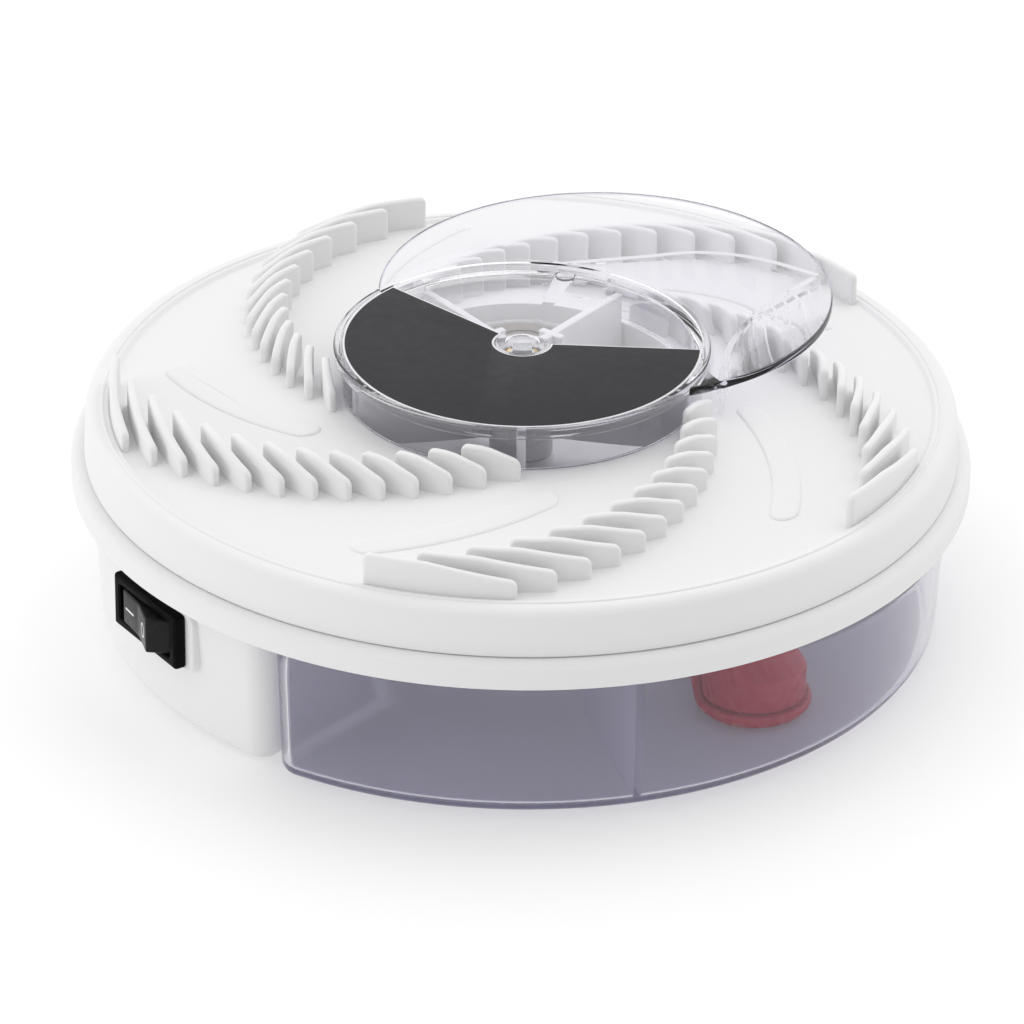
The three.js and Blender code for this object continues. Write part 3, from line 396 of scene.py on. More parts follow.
def solid_material(name, colour, second, rough, grain=2200.0, bump=0.012, metal=0.0, coat=0.0, stretch=None,
                   gloss=0.5):
    material, nodes, links = nodes_of(name)
    place = nodes.new("ShaderNodeTexCoord").outputs["Object"]
    if stretch:
        mapping = nodes.new("ShaderNodeMapping")
        mapping.inputs["Scale"].default_value = stretch
        links.new(place, mapping.inputs["Vector"])
        place = mapping.outputs["Vector"]
    shader = nodes.new("ShaderNodeBsdfPrincipled")
    shader.inputs["Metallic"].default_value = metal
    shader.inputs["Coat Weight"].default_value = coat
    shader.inputs["Coat Roughness"].default_value = 0.12
    shader.inputs["IOR"].default_value = 1.5
    shader.inputs["Specular IOR Level"].default_value = gloss
    clouds = noise(nodes, links, place, CLOUD_SCALE, 4.0)
    tone = blend(nodes, links, spread(nodes, links, clouds, 0, 1), colour, second)
    links.new(tone, shader.inputs["Base Color"])
    patches = noise(nodes, links, place, CLOUD_SCALE * 7, 4.0)
    uneven = spread(nodes, links, patches, rough - ROUGH_SPREAD, rough + ROUGH_SPREAD)
    links.new(uneven, shader.inputs["Roughness"])
    texture = nodes.new("ShaderNodeBump")
    texture.inputs["Strength"].default_value = 0.5
    texture.inputs["Distance"].default_value = bump * MM
    links.new(noise(nodes, links, place, grain, 2.0), texture.inputs["Height"])
    links.new(texture.outputs["Normal"], shader.inputs["Normal"])
    output = nodes.new("ShaderNodeOutputMaterial")
    links.new(shader.outputs["BSDF"], output.inputs["Surface"])
    return material


def clear_material(name, tint, second, lamp_tint, rough=0.02, ior=1.5, bump=0.004, haze=0.0,
                   haze_colour=(0.5, 0.5, 0.56)):
    """Clear plastic that bends what is seen through it and lets lamps and bounced light through."""
    material, nodes, links = nodes_of(name)
    place = nodes.new("ShaderNodeTexCoord").outputs["Object"]
    shader = nodes.new("ShaderNodeBsdfPrincipled")
    shader.inputs["Transmission Weight"].default_value = 1.0
    shader.inputs["IOR"].default_value = ior
    shader.inputs["Roughness"].default_value = rough
    clouds = noise(nodes, links, place, CLEAR_CLOUD_SCALE, 3.0)
    tone = blend(nodes, links, spread(nodes, links, clouds, 0, 1), tint, second)
    links.new(tone, shader.inputs["Base Color"])
    texture = nodes.new("ShaderNodeBump")
    texture.inputs["Strength"].default_value = 0.35
    texture.inputs["Distance"].default_value = bump * MM
    links.new(noise(nodes, links, place, 160.0, 2.0), texture.inputs["Height"])
    links.new(texture.outputs["Normal"], shader.inputs["Normal"])
    look = shader.outputs["BSDF"]
    if haze:
        cloudy = nodes.new("ShaderNodeBsdfDiffuse")
        wisps = spread(nodes, links, noise(nodes, links, place, 18.0), 0, 1)
        darker = tuple(c * 0.93 for c in haze_colour)
        links.new(blend(nodes, links, wisps, haze_colour, darker), cloudy.inputs["Color"])
        fog = nodes.new("ShaderNodeMixShader")
        fog.inputs["Fac"].default_value = haze
        links.new(look, fog.inputs[1])
        links.new(cloudy.outputs["BSDF"], fog.inputs[2])
        look = fog.outputs["Shader"]
    through = nodes.new("ShaderNodeBsdfTransparent")
    through.inputs["Color"].default_value = (*lamp_tint, 1)
    path = nodes.new("ShaderNodeLightPath")
    either = nodes.new("ShaderNodeMath")
    either.operation = "MAXIMUM"
    links.new(path.outputs["Is Shadow Ray"], either.inputs[0])
    links.new(path.outputs["Is Diffuse Ray"], either.inputs[1])
    mix = nodes.new("ShaderNodeMixShader")
    links.new(either.outputs[0], mix.inputs["Fac"])
    links.new(look, mix.inputs[1])
    links.new(through.outputs["BSDF"], mix.inputs[2])
    output = nodes.new("ShaderNodeOutputMaterial")
    links.new(mix.outputs["Shader"], output.inputs["Surface"])
    return material


WHITE = solid_material("white_abs", (0.86, 0.86, 0.875), (0.84, 0.84, 0.858), 0.36, coat=0.2)
BLACK = solid_material("black_nylon", (0.004, 0.004, 0.0045), (0.006, 0.006, 0.007), 0.35, bump=0.02,
                       gloss=0.03)
ROCKER = solid_material("black_rocker", (0.006, 0.006, 0.0068), (0.009, 0.009, 0.010), 0.3, gloss=0.2)
FILM = solid_material("film_black", (0.034, 0.034, 0.037), (0.039, 0.039, 0.042), 0.55, bump=0.006, gloss=0.1)
BACKING = solid_material("film_backing", (0.82, 0.82, 0.84), (0.76, 0.76, 0.79), 0.3)
RED = solid_material("red_pe", (0.46, 0.012, 0.045), (0.40, 0.010, 0.040), 0.28, coat=0.2, gloss=0.3)
MARK = solid_material("mark_white", (0.85, 0.85, 0.85), (0.78, 0.78, 0.78), 0.5)
STEEL = solid_material("zinc_steel", (0.60, 0.61, 0.63), (0.50, 0.51, 0.53), 0.3, metal=1.0, grain=900,
                       stretch=(1, 1, 6))
SHEET = solid_material("plated_sheet", (0.66, 0.67, 0.69), (0.58, 0.59, 0.61), 0.34, metal=1.0,
                       stretch=(1, 1, 8))
BRASS = solid_material("turned_brass", (0.66, 0.49, 0.23), (0.58, 0.42, 0.19), 0.28, metal=1.0,
                       stretch=(1, 1, 8))
ACETAL = solid_material("natural_acetal", (0.78, 0.76, 0.70), (0.73, 0.71, 0.65), 0.42)
RUBBER = solid_material("foot_rubber", (0.02, 0.02, 0.02), (0.035, 0.035, 0.035), 0.8, grain=1500, bump=0.05)
BOARD = solid_material("solder_mask", (0.012, 0.10, 0.035), (0.02, 0.14, 0.05), 0.4)
WIRE_RED = solid_material("wire_red", (0.45, 0.02, 0.02), (0.38, 0.015, 0.015), 0.45)
WIRE_BLACK = solid_material("wire_black", (0.012, 0.012, 0.012), (0.02, 0.02, 0.02), 0.45)
CLEAR = clear_material("clear_ps", (0.965, 0.96, 0.98), (0.975, 0.97, 0.985), (0.97, 0.965, 0.985), ior=1.38)
CLEAR_EDGE = clear_material("clear_ps_edge", (0.74, 0.73, 0.86), (0.80, 0.79, 0.90), (0.9, 0.89, 0.95),
                            rough=0.12, ior=1.35)
# Painted shadow: the drum wall below the film gets a darker tint, standing in for the film's shadow inside
# the drum.
CLEAR_WALL_PAINTED_SHADOW = clear_material("clear_ps_wall_painted_shadow", (0.84, 0.835, 0.87), (0.87, 0.865, 0.895), (0.93, 0.925, 0.95),
                            ior=1.45)
CLEAR_GUIDE = clear_material("clear_ps_guide", (0.97, 0.968, 0.98), (0.98, 0.978, 0.985),
                             (0.97, 0.965, 0.985), ior=1.06)
SMOKE = clear_material("smoke_ps", (0.77, 0.765, 0.82), (0.80, 0.795, 0.84), (0.93, 0.925, 0.95), ior=1.45,
                       bump=0.001)
SMOKE_BACK = clear_material("smoke_ps_back", (0.72, 0.71, 0.77), (0.75, 0.74, 0.79), (0.88, 0.875, 0.91),
                            ior=1.35, rough=0.15, bump=0.0, haze=0.5, haze_colour=(0.48, 0.475, 0.56))
SMOKE_EDGE = clear_material("smoke_ps_edge", (0.34, 0.33, 0.52), (0.42, 0.41, 0.60), (0.6, 0.6, 0.75),
                            rough=0.1)


def finish_piece(ob, body, material, replaces=(), angle=32):
    clean(ob, angle)
    if not ob.data.materials:
        ob.data.materials.append(material)
    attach(ob, body)
    if replaces:
        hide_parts(*replaces)


# ------------------------------------------------------------------ camera, light and floor

camera_data = bpy.data.cameras.new("camera")
camera = bpy.data.objects.new("camera", camera_data)
bpy.context.scene.collection.objects.link(camera)
camera_data.lens = 207.49
camera_data.sensor_width = 36
camera_data.clip_start = 0.05
camera_data.clip_end = 20
axis_x, axis_y = Vector((0.999916, 0.006234, 0.011387)), Vector((-0.012982, 0.480180, 0.877076))
axis_z = axis_x.cross(axis_y).normalized()
axis_y = axis_z.cross(axis_x).normalized()
turn = Matrix((axis_x, axis_y, axis_z)).transposed()
camera.matrix_world = Matrix.Translation((-0.0017966, -1.1596179, 0.6572117)) @ turn.to_4x4()
bpy.context.scene.camera = camera

world = bpy.data.worlds.new("studio")
bpy.context.scene.world = world
world.use_nodes = True
world.node_tree.nodes["Background"].inputs["Color"].default_value = (1, 1, 1, 1)
# The studio is darker on the side that the camera stands on.
sky = world.node_tree
aim = sky.nodes.new("ShaderNodeVectorMath")
aim.operation = "DOT_PRODUCT"
aim.inputs[1].default_value = (0.1, -0.96, 0.25)
sky.links.new(sky.nodes.new("ShaderNodeTexCoord").outputs["Generated"], aim.inputs[0])
fade = spread(sky.nodes, sky.links, aim.outputs["Value"], 1.17, 0.54, 0.2, 0.95)
sky.links.new(fade, sky.nodes["Background"].inputs["Strength"])


LAMP_TARGET = (0, 0, 0.04)


def lamp(name, size, power, place):
    data = bpy.data.lights.new(name, "AREA")
    data.shape = "RECTANGLE"
    data.size, data.size_y = size
    data.energy = power
    ob = bpy.data.objects.new(name, data)
    ob.location = place
    ob.rotation_mode = "QUATERNION"
    ob.rotation_quaternion = (Vector(place) - Vector(LAMP_TARGET)).to_track_quat("Z", "Y")
    bpy.context.scene.collection.objects.link(ob)


lamp("key", (1.0, 1.0), 3.0, (0.5, 0.45, 1.4))
lamp("side", (0.9, 0.5), 2.4, (-1.3, -0.5, 0.35))

floor_mesh = bpy.data.meshes.new("floor")
floor_mesh.from_pydata([(-6, -6, 0), (6, -6, 0), (6, 6, 0), (-6, 6, 0)], [], [(0, 1, 2, 3)])
floor = bpy.data.objects.new("floor", floor_mesh)
bpy.context.scene.collection.objects.link(floor)
floor_material, floor_nodes, floor_links = nodes_of("floor_pale")
floor_shader = floor_nodes.new("ShaderNodeBsdfPrincipled")
floor_place = floor_nodes.new("ShaderNodeTexCoord").outputs["Object"]
floor_clouds = noise(floor_nodes, floor_links, floor_place, 3.0)
floor_tone = blend(floor_nodes, floor_links, floor_clouds, (0.64, 0.64, 0.64), (0.65, 0.65, 0.65))
floor_links.new(floor_tone, floor_shader.inputs["Base Color"])
floor_shader.inputs["Roughness"].default_value = 0.6
floor_shader.inputs["Specular IOR Level"].default_value = 0.2
floor_output = floor_nodes.new("ShaderNodeOutputMaterial")
floor_shader.inputs["Emission Color"].default_value = (1, 1, 1, 1)
floor_shader.inputs["Emission Strength"].default_value = 0.33
floor_links.new(floor_shader.outputs["BSDF"], floor_output.inputs["Surface"])
floor_mesh.materials.append(floor_material)
bpy.context.scene.view_settings.view_transform = "Standard"


# ------------------------------------------------------------------ base plate with flange

def base_plate():
    r, skirt, boss, bore = FLANGE_R, FLANGE_R - 2.2, 7.5, 3.1
    profile = rounded(
        [(skirt, FLANGE_Z), (r, FLANGE_Z), (r, PLATE_TOP_Z), (boss, PLATE_TOP_Z), (boss - 1, BOSS_TOP_Z),
         (bore, BOSS_TOP_Z), (bore, SPINDLE_FOOT_Z), (boss, SPINDLE_FOOT_Z), (boss, PLATE_UNDER_Z),
         (skirt, PLATE_UNDER_Z)],
        [0.7, 0.9, 2.4, 0.6, 0.3, 0.2, 0.2, 0.4, 0.8, 1.0], 0, 5)
    ob = lathe("base_plate", profile, ring=True)
    top, low = PLATE_UNDER_Z + 0.5, TRAY_TOP_Z + 0.3
    bosses = [disc("boss", SCREW_POST_R, PLATE_UNDER_Z - 6.4, top, x, y, 0.3) for x, y in SCREW_PLACES]
    length = HOUSE_R + 2 - DRAWER_NOTCH_R - 22
    middle = DRAWER_NOTCH_R + 6 + length / 2
    rails = []
    for y in (-34, 34):
        rails.append(block("rail", length, 2.4, top - low, middle, y, (top + low) / 2, 0.4, 0.5, DRAWER_TURN))
    add(ob, join("fittings", bosses + rails))
    reach = OPENING_R - 2
    half = math.acos(19.5 / reach)
    under, over = PLATE_UNDER_Z - 3, PLATE_TOP_Z + 3
    drop_hole = slab("drop_hole", lambda inset: arc(0, 0, reach, -half, half, 48), under, over)
    cut(ob, turned(drop_hole, DRAWER_TURN))
    motor = polar(56.25, DRAWER_TURN + math.pi)
    cut(ob, disc("motor_hole", 5.6, under, over, *motor))
    finish_piece(ob, "base", WHITE, ["base_deck"])


base_plate()


# ------------------------------------------------------------------ housing

def housing_outline(inset):
    r, front, corner, bulge = HOUSE_R - inset, HOUSE_FRONT - inset, HOUSE_CORNER_R - inset, BULGE_R - inset
    cx = front - corner
    cy = math.sqrt((r - corner) ** 2 - cx ** 2)
    ca = math.atan2(cy, cx)
    ba = math.acos(front / bulge)
    dy = bulge * math.sin(ba)
    points = arc(0, 0, bulge, -ba, ba, 24)
    points += [(front, dy + (cy - dy) * k / 6) for k in range(1, 6)]
    points += arc(cx, cy, corner, 0, ca, 8)
    points += arc(0, 0, r, ca, 2 * math.pi - ca, 110)[1:-1]
    points += arc(cx, -cy, corner, -ca, 0, 8)
    points += [(front, -cy + (cy - dy) * k / 6) for k in range(1, 6)]
    return points


def level(outline, inset, z, lean_from):
    grow = 1 + HOUSE_LEAN * (z - lean_from)
    return [(x * grow, y * grow, z) for x, y in outline(inset)]


def tub(name, outline, z0, z1, wall, floor, round_out):
    """Open tub: rounded bottom edge outside and inside, and a softly rounded top edge."""
    top_round = 0.35
    rings = []
    steps = 7
    for k in range(steps + 1):
        a = math.pi / 2 * k / steps
        rings.append(level(outline, round_out * (1 - math.sin(a)), z0 + round_out * (1 - math.cos(a)), z0))
    for k in range(1, 5):
        rings.append(level(outline, 0, z0 + round_out + (z1 - top_round - z0 - round_out) * k / 4, z0))
    for k in range(1, 4):
        a = math.pi / 2 * k / 3
        rings.append(level(outline, top_round * (1 - math.cos(a)), z1 - top_round * (1 - math.sin(a)), z0))
    for k in range(4):
        a = math.pi / 2 * k / 3
        inset, z = wall - top_round * (1 - math.sin(a)), z1 - top_round * (1 - math.cos(a))
        rings.append(level(outline, inset, z, z0))
    inner = max(round_out - wall, 0.8)
    zf = z0 + floor
    for k in range(1, 5):
        rings.append(level(outline, wall, z1 - top_round + (zf + inner - z1 + top_round) * k / 4, z0))
    for k in range(1, steps + 1):
        a = math.pi / 2 * k / steps
        rings.append(level(outline, wall + inner * (1 - math.cos(a)), zf + inner * (1 - math.sin(a)), z0))
    return loft(name, rings)


def housing():
    body = tub("motor_housing", housing_outline, HOUSE_Z, HOUSE_TOP_Z, HOUSE_WALL, HOUSE_WALL, 4.6)
    ob = turned(body, DRAWER_TURN)

    pad, corner, edge, face = rectangle(29.8, 14.9, 0.4, SWITCH_Z), 3, 0.7, 95.5
    rings = [[(x, y, 90) for x, y in rounded(pad, corner, 0, 8)]]
    for k in range(5):
        a = math.pi / 2 * k / 4
        inset, z = edge * (1 - math.cos(a)), face - edge * (1 - math.sin(a))
        rings.append([(x, y, z) for x, y in rounded(pad, corner, inset, 8)])
    add(ob, facing(loft("pad", rings)))

    below = HOUSE_Z - 2
    foot, head = HOUSE_Z + 1.5, PLATE_UNDER_Z - 6.7
    posts = [disc("post", SCREW_POST_R, foot, head, x, y, 0.3) for x, y in SCREW_PLACES]
    add(ob, join("posts", posts))
    cut(ob, join("wells", [disc("well", 3.4, below, PLATE_UNDER_Z - 14.4, x, y) for x, y in SCREW_PLACES]))
    cut(ob, join("bores", [disc("bore", 1.8, below, PLATE_UNDER_Z - 3, x, y) for x, y in SCREW_PLACES]))
    seats = []
    for node in FEET:
        low, high = box_mm(node)
        seats.append(disc("seat", 6.3, -1, high[2] + 0.3, (low[0] + high[0]) / 2, (low[1] + high[1]) / 2))
    cut(ob, join("seats", seats))
    cut(ob, facing(slab("switch_hole", lambda inset: rectangle(22.8, 10.8, 0, SWITCH_Z), 80, 105)))
    jack_hole = slab("jack_hole", lambda inset: arc(0, 14, 4.9, 0, 2 * math.pi * 47 / 48, 47), 85, 105)
    jack_hole.data.transform(Matrix.Rotation(rad(210), 4, "Z") @ Matrix.Rotation(math.pi / 2, 4, "X"))
    cut(ob, jack_hole)
    finish_piece(ob, "base", WHITE, ["base_housing"])


housing()


# ------------------------------------------------------------------ feet and screws

def smooth_feet():
    radius, edge = 5.9, 0.5
    for node in FEET:
        low, high = box_mm(node)
        x, y, z = (low[0] + high[0]) / 2, (low[1] + high[1]) / 2, high[2]
        profile = [(0, 0)] + arc(radius - edge, edge, edge, -math.pi / 2, 0, 5) + [(radius, z), (0, z)]
        ob = moved(lathe("rubber_" + node, profile, 64), x, y)
        finish_piece(ob, "base", RUBBER, [node])


smooth_feet()


# ------------------------------------------------------------------ finned turntable

ROW_SWEEP = rad(72.3)
ROW_R = 70.85


def row_centre():
    inner, outer = Vector((FIN_RADII[0], 0)), Vector(polar(FIN_RADII[-1], -ROW_SWEEP))
    middle, chord = (inner + outer) / 2, outer - inner
    rise = math.sqrt(ROW_R ** 2 - (chord.length / 2) ** 2)
    return middle + Vector((chord.y, -chord.x)).normalized() * rise


ROW_CENTRE = row_centre()


def foot_angle(r):
    reach = ROW_CENTRE.length
    cosine = (r * r + reach * reach - ROW_R ** 2) / (2 * r * reach)
    return math.atan2(ROW_CENTRE.y, ROW_CENTRE.x) + math.acos(cosine) - 2 * math.pi


def round_off(distance, radius):
    """How far a rounded end of the given radius falls back at a distance from its tip."""
    return radius - math.sqrt(max(0.0, radius ** 2 - (radius - min(distance, radius)) ** 2))


def fin(r, turn_angle):
    """One fin, skinned through upright sections along its curved foot."""
    share = (r - FIN_RADII[0]) / (FIN_RADII[-1] - FIN_RADII[0])
    length = FIN_SHORTEST + FIN_GROWTH * share ** 2.2
    base, flat, half, edge = deck_z(r), length * 0.42, 0.9, 0.75
    slope = FIN_DROP / (length - flat)
    ends = [1 - math.cos(math.pi / 2 * k / 4) for k in range(5)]
    straight = length - 2 * FIN_END_R
    count = max(4, round(straight / 2.5))
    stations = [FIN_END_R * e for e in ends] + [FIN_END_R + straight * k / count for k in range(1, count)]
    stations += [length - FIN_END_R * e for e in ends[::-1]]
    rear = foot_angle(r) - length / r + turn_angle
    rings = []
    for s in stations:
        past = s - flat
        drop = slope * (past if past > 2 else (past + 2) ** 2 / 8 if past > -2 else 0)
        tip = min(s, length - s)
        top = base + FIN_HEIGHT - drop - round_off(tip, FIN_END_R)
        h = half - round_off(tip, 0.7) * 0.9
        e = min(edge, h * 0.9)
        section = [(-h, base - 1.5), (h, base - 1.5)]
        section += arc(h - e, top - e, e, 0, math.pi / 2, 4) + arc(e - h, top - e, e, math.pi / 2, math.pi, 4)
        rings.append([(*polar(r + w, rear + s / r), z) for w, z in section])
    return loft("fin", rings, 40)


def bait_patch(turn_angle):
    a = Vector(polar(DECK_R - 11.7, rad(-99) + turn_angle))
    b = Vector(polar(COVER_R + 9.8, rad(-63) + turn_angle))
    along = (b - a).normalized()
    side = Vector((-along.y, along.x))
    length, half, bow = (b - a).length, 3.2, 4
    shape = [(0, -half), (length, -half), (length, half), (0, half)]
    away = bow if side.dot(a + b) > 0 else -bow
    rings = []
    for inset, lift in ((0.0, -0.8), (0.0, 0.08), (0.12, 0.22), (0.35, 0.35), (0.7, 0.42), (1.2, 0.45)):
        ring = []
        for s, t in rounded(shape, half - 0.05, inset, 8, 3.0):
            p = a + along * s + side * (t + away * 4 * (s / length) * (1 - s / length))
            ring.append((p.x, p.y, deck_z(p.length) + lift))
        rings.append(ring)
    return loft("patch", rings)


def turntable():
    r = TABLE_R
    deck_steps = [DECK_R - 2.2 - k * (DECK_R - DECK_INNER_R - 4) / 12 for k in range(1, 12)]
    outer = rounded(
        [(r - 1.9, TABLE_Z - 0.42), (r, TABLE_Z - 0.42), (r - 0.5, RIM_TOP_Z), (DECK_R + 0.9, RIM_TOP_Z),
         (DECK_R, DECK_EDGE_Z), (DECK_INNER_R, DECK_TOP_Z), (OPENING_R, DECK_TOP_Z)],
        [0.3, 0.5, 2.6, 0.5, 0.7, 3.0, 0.4], 0, 8, closed=False)
    start = max(i for i, p in enumerate(outer) if p[0] > DECK_R - 2.2 and p[1] >= DECK_EDGE_Z - 0.01)
    outer = outer[:start + 1] + [(x, deck_z(x)) for x in deck_steps] + outer[start + 1:]
    inner = [(OPENING_R, SEAT_TOP_Z), (OPENING_R - 1.6, SEAT_TOP_Z), (OPENING_R - 1.6, SEAT_TOP_Z - 1.1),
             (OPENING_R + 1.8, SEAT_TOP_Z - 1.1), (OPENING_R + 1.8, DECK_TOP_Z - 2.0),
             (DECK_INNER_R + 2, DECK_TOP_Z - 2.1), (DECK_R, DECK_EDGE_Z - 2), (r - 2.2, DECK_EDGE_Z - 2)]
    ob = lathe("bait_turntable", outer + inner, ring=True)
    bead = lathe("bead", arc(DECK_R + 2.1, RIM_TOP_Z - 0.12, 0.42, 0, 2 * math.pi * 15 / 16, 15), ring=True)
    add(ob, bead)
    for angle in ROW_TURNS:
        add(ob, join("fins", [fin(radius, angle) for radius in FIN_RADII]))
    add(ob, join("patches", [bait_patch(angle) for angle in ROW_TURNS]))
    finish_piece(ob, "turntable", WHITE, ["turntable"], 38)


turntable()


# ------------------------------------------------------------------ hub with vanes

def vane_rotor():
    low, bore, outer = hub_low[2], 4.4, 6.8
    profile = rounded([(bore, low), (outer, low), (outer, HUB_TOP_Z), (bore, HUB_TOP_Z)], 0.4, 0, 4)
    ob = lathe("hub_vanes", profile, 96, ring=True)
    foot_z, cross_z = SEAT_TOP_Z - 0.8, low + 6
    length, thickness = 31.2, 2
    vanes, crosses = [], []
    for angle in ROW_TURNS:
        vanes.append(block("vane", length, thickness, VANE_TOP_Z - foot_z, 6.2 + length / 2, 0,
                           (VANE_TOP_Z + foot_z) / 2, 0.35, 0.4, angle))
        crosses.append(block("cross", thickness, 6, VANE_TOP_Z - cross_z, 10.8, 0,
                             (VANE_TOP_Z + cross_z) / 2, 0.35, 0.4, angle))
    for vane in vanes:
        add(ob, vane)
    add(ob, join("crosses", crosses))
    finish_piece(ob, "turntable", WHITE, ["vane_rotor"])


vane_rotor()


# ------------------------------------------------------------------ clear cover

VISOR_CENTRE = polar(33.3, rad(56))
BACK_GUIDE = [(1.3, 83.6), (13.1, 59.7), (22.8, 50.6), (30, 41), (36.4, 29.7)]
SIDE_GUIDE = [(5.3, -17.6), (6.2, 4.3), (14, 18.3), (23.8, 25), (35.1, 29.1)]


def smooth_path(points):
    """A smooth curve through the points."""
    steps = 10
    p = [Vector(q) for q in points]
    p = [p[0] * 2 - p[1]] + p + [p[-1] * 2 - p[-2]]
    out = []
    for i in range(1, len(p) - 2):
        for k in range(steps):
            t = k / steps
            out.append(0.5 * (2 * p[i] + (p[i + 1] - p[i - 1]) * t
                              + (2 * p[i - 1] - 5 * p[i] + 4 * p[i + 1] - p[i + 2]) * t * t
                              + (3 * p[i] - p[i - 1] - 3 * p[i + 1] + p[i + 2]) * t ** 3))
    return out + [p[-2]]


def guide_wall(path, z0, z1):
    line = smooth_path([polar(COVER_R + out, rad(angle)) for out, angle in path])
    left, right = [], []
    for i, p in enumerate(line):
        ahead, behind = line[min(i + 1, len(line) - 1)], line[max(i - 1, 0)]
        d = (ahead - behind).normalized() * 0.75
        left.append((p.x - d.y, p.y + d.x))
        right.append((p.x + d.y, p.y - d.x))
    return loft("guide", [[(x, y, z) for x, y in left + right[::-1]] for z in (z0, z1)])


def clear_cover():
    inner, rim, floor_z = COVER_R - COVER_WALL, COVER_R + 1.5, COVER_TOP_Z - 0.4
    profile = [(0, HUB_TOP_Z + 0.3), (5.2, HUB_TOP_Z + 0.3), (5.4, COVER_UNDER_Z), (inner, COVER_UNDER_Z),
               (inner, COVER_BOTTOM_Z), (COVER_R, COVER_BOTTOM_Z), (COVER_R, VISOR_UNDER_Z - 0.1),
               (rim, VISOR_UNDER_Z - 0.1), (rim, COVER_TOP_Z), (COVER_R - 0.1, COVER_TOP_Z),
               (COVER_R - 0.3, floor_z), (5.9, floor_z), (5.7, COVER_TOP_Z), (3.9, COVER_TOP_Z),
               (3.7, COVER_TOP_Z - 0.9), (0, COVER_TOP_Z - 0.9)]
    radii = [0, 0.3, 0.4, 0.6, 0.25, 0.25, 0.3, 0.8, 0.8, 0.15, 0.12, 0.15, 0.3, 0.3, 0.4, 0]
    ob = lathe("drum_cover", rounded(profile, radii, 0, 5, closed=False))
    entry = arc(0, 0, COVER_R + 0.4, rad(61), rad(125), 40) + arc(0, 0, inner - 0.6, rad(125), rad(61), 40)
    cut(ob, slab("entry", lambda inset: entry, COVER_BOTTOM_Z - 1, VISOR_UNDER_Z - 0.2))
    visor = disc("visor", VISOR_R, VISOR_UNDER_Z, VISOR_TOP_Z, *VISOR_CENTRE, 0.5, SIDES)
    cut(visor, disc("core", inner, VISOR_UNDER_Z - 1, COVER_UNDER_Z, sides=SIDES))
    low = DECK_EDGE_Z - 2
    walls = guide_wall(BACK_GUIDE, low, VISOR_UNDER_Z + 0.5)
    add(walls, guide_wall(SIDE_GUIDE, low, VISOR_UNDER_Z + 0.5))
    lift, bottom, half_slot = 0.95, low - 5, 1.4
    under = lathe("deck_space", [(0, bottom), (DECK_R, bottom), (DECK_R, DECK_EDGE_Z + lift),
                                 (DECK_INNER_R, DECK_TOP_Z + lift), (0, DECK_TOP_Z + lift)])
    cut(walls, under)
    slots = []
    for r in FIN_RADII:
        a, b, top = r - half_slot, r + half_slot, deck_z(r) + FIN_HEIGHT + FIN_CLEARANCE
        slots.append(lathe("slot", [(a, bottom), (b, bottom), (b, top), (a, top)], ring=True))
    cut(walls, join("slots", slots))
    add(ob, visor)
    add(ob, walls)
    tab = disc("tab", 2.2, COVER_UNDER_Z - 0.7, COVER_UNDER_Z + 0.5, *polar(inner - 1.4, rad(75)), 0.3)
    add(ob, tab)
    cut(ob, block("socket", 4.4, 4.4, 5.1, 0, 0, COVER_UNDER_Z - 2.4))
    finish_piece(ob, "cover", CLEAR, ["clear_cover"], 30)

    ob.data.materials.clear()
    for material in (CLEAR, CLEAR_EDGE, CLEAR_GUIDE, CLEAR_WALL_PAINTED_SHADOW):
        ob.data.materials.append(material)
    edge, guide, wall = 1, 2, 3
    for face in ob.data.polygons:
        centre = face.center / MM
        flat = math.hypot(centre.x, centre.y)
        far = math.hypot(centre.x - VISOR_CENTRE[0], centre.y - VISOR_CENTRE[1])
        if far > VISOR_R - 0.7 and flat > COVER_R + 2:
            face.material_index = edge
        elif flat > COVER_R + 0.2 and centre.z < VISOR_UNDER_Z - 0.3:
            face.material_index = guide
        elif flat < 6 and centre.z < COVER_TOP_Z - 1:
            face.material_index = guide
        # Drum wall faces below the visor take the darker tint, a painted shadow of the film.
        elif flat > inner - 0.5 and centre.z < VISOR_UNDER_Z - 0.2:
            face.material_index = wall


clear_cover()


def window_film():
    z = COVER_TOP_Z - 0.35
    start, end = rad(137.6), rad(356.8)

    def outline(grow):
        outer, hole = 39.45 + grow, 6.5 - grow
        gap_out, gap_in = grow / outer, grow / hole
        return (arc(0, 0, outer, start - gap_out, end + gap_out, 140)
                + arc(0, 0, hole, end + gap_in - rad(1.5), start - gap_in + rad(1.5), 40))

    backing = slab("film_border", lambda i: outline(0.2 - i), z, z + 0.16, 0)
    finish_piece(backing, "cover", BACKING)
    film = slab("cover_film", lambda i: outline(-0.25 - i), z + 0.17, z + 0.3, 0.05)
    finish_piece(film, "cover", FILM, ["window_film"])


window_film()


# ------------------------------------------------------------------ drawer and bait pot

def drawer_outline(inset):
    r, corner = HOUSE_R - inset, DRAWER_CORNER_R - inset
    back, notch = DRAWER_BACK + inset, DRAWER_NOTCH_R + inset
    na = math.acos(back / notch)
    ny = notch * math.sin(na)
    cx = back + corner
    cy = math.sqrt((r - corner) ** 2 - cx ** 2)
    ca = math.atan2(cy, cx)
    points = arc(cx, -cy, corner, math.pi, 2 * math.pi - ca, 10)
    points += arc(0, 0, r, -ca, ca, 90)[1:-1]
    points += arc(cx, cy, corner, ca, math.pi, 10)
    points += [(back, cy - (cy - ny) * k / 6) for k in range(1, 6)]
    points += arc(0, 0, notch, na, -na, 24)
    points += [(back, -ny - (cy - ny) * k / 6) for k in range(1, 6)]
    return points


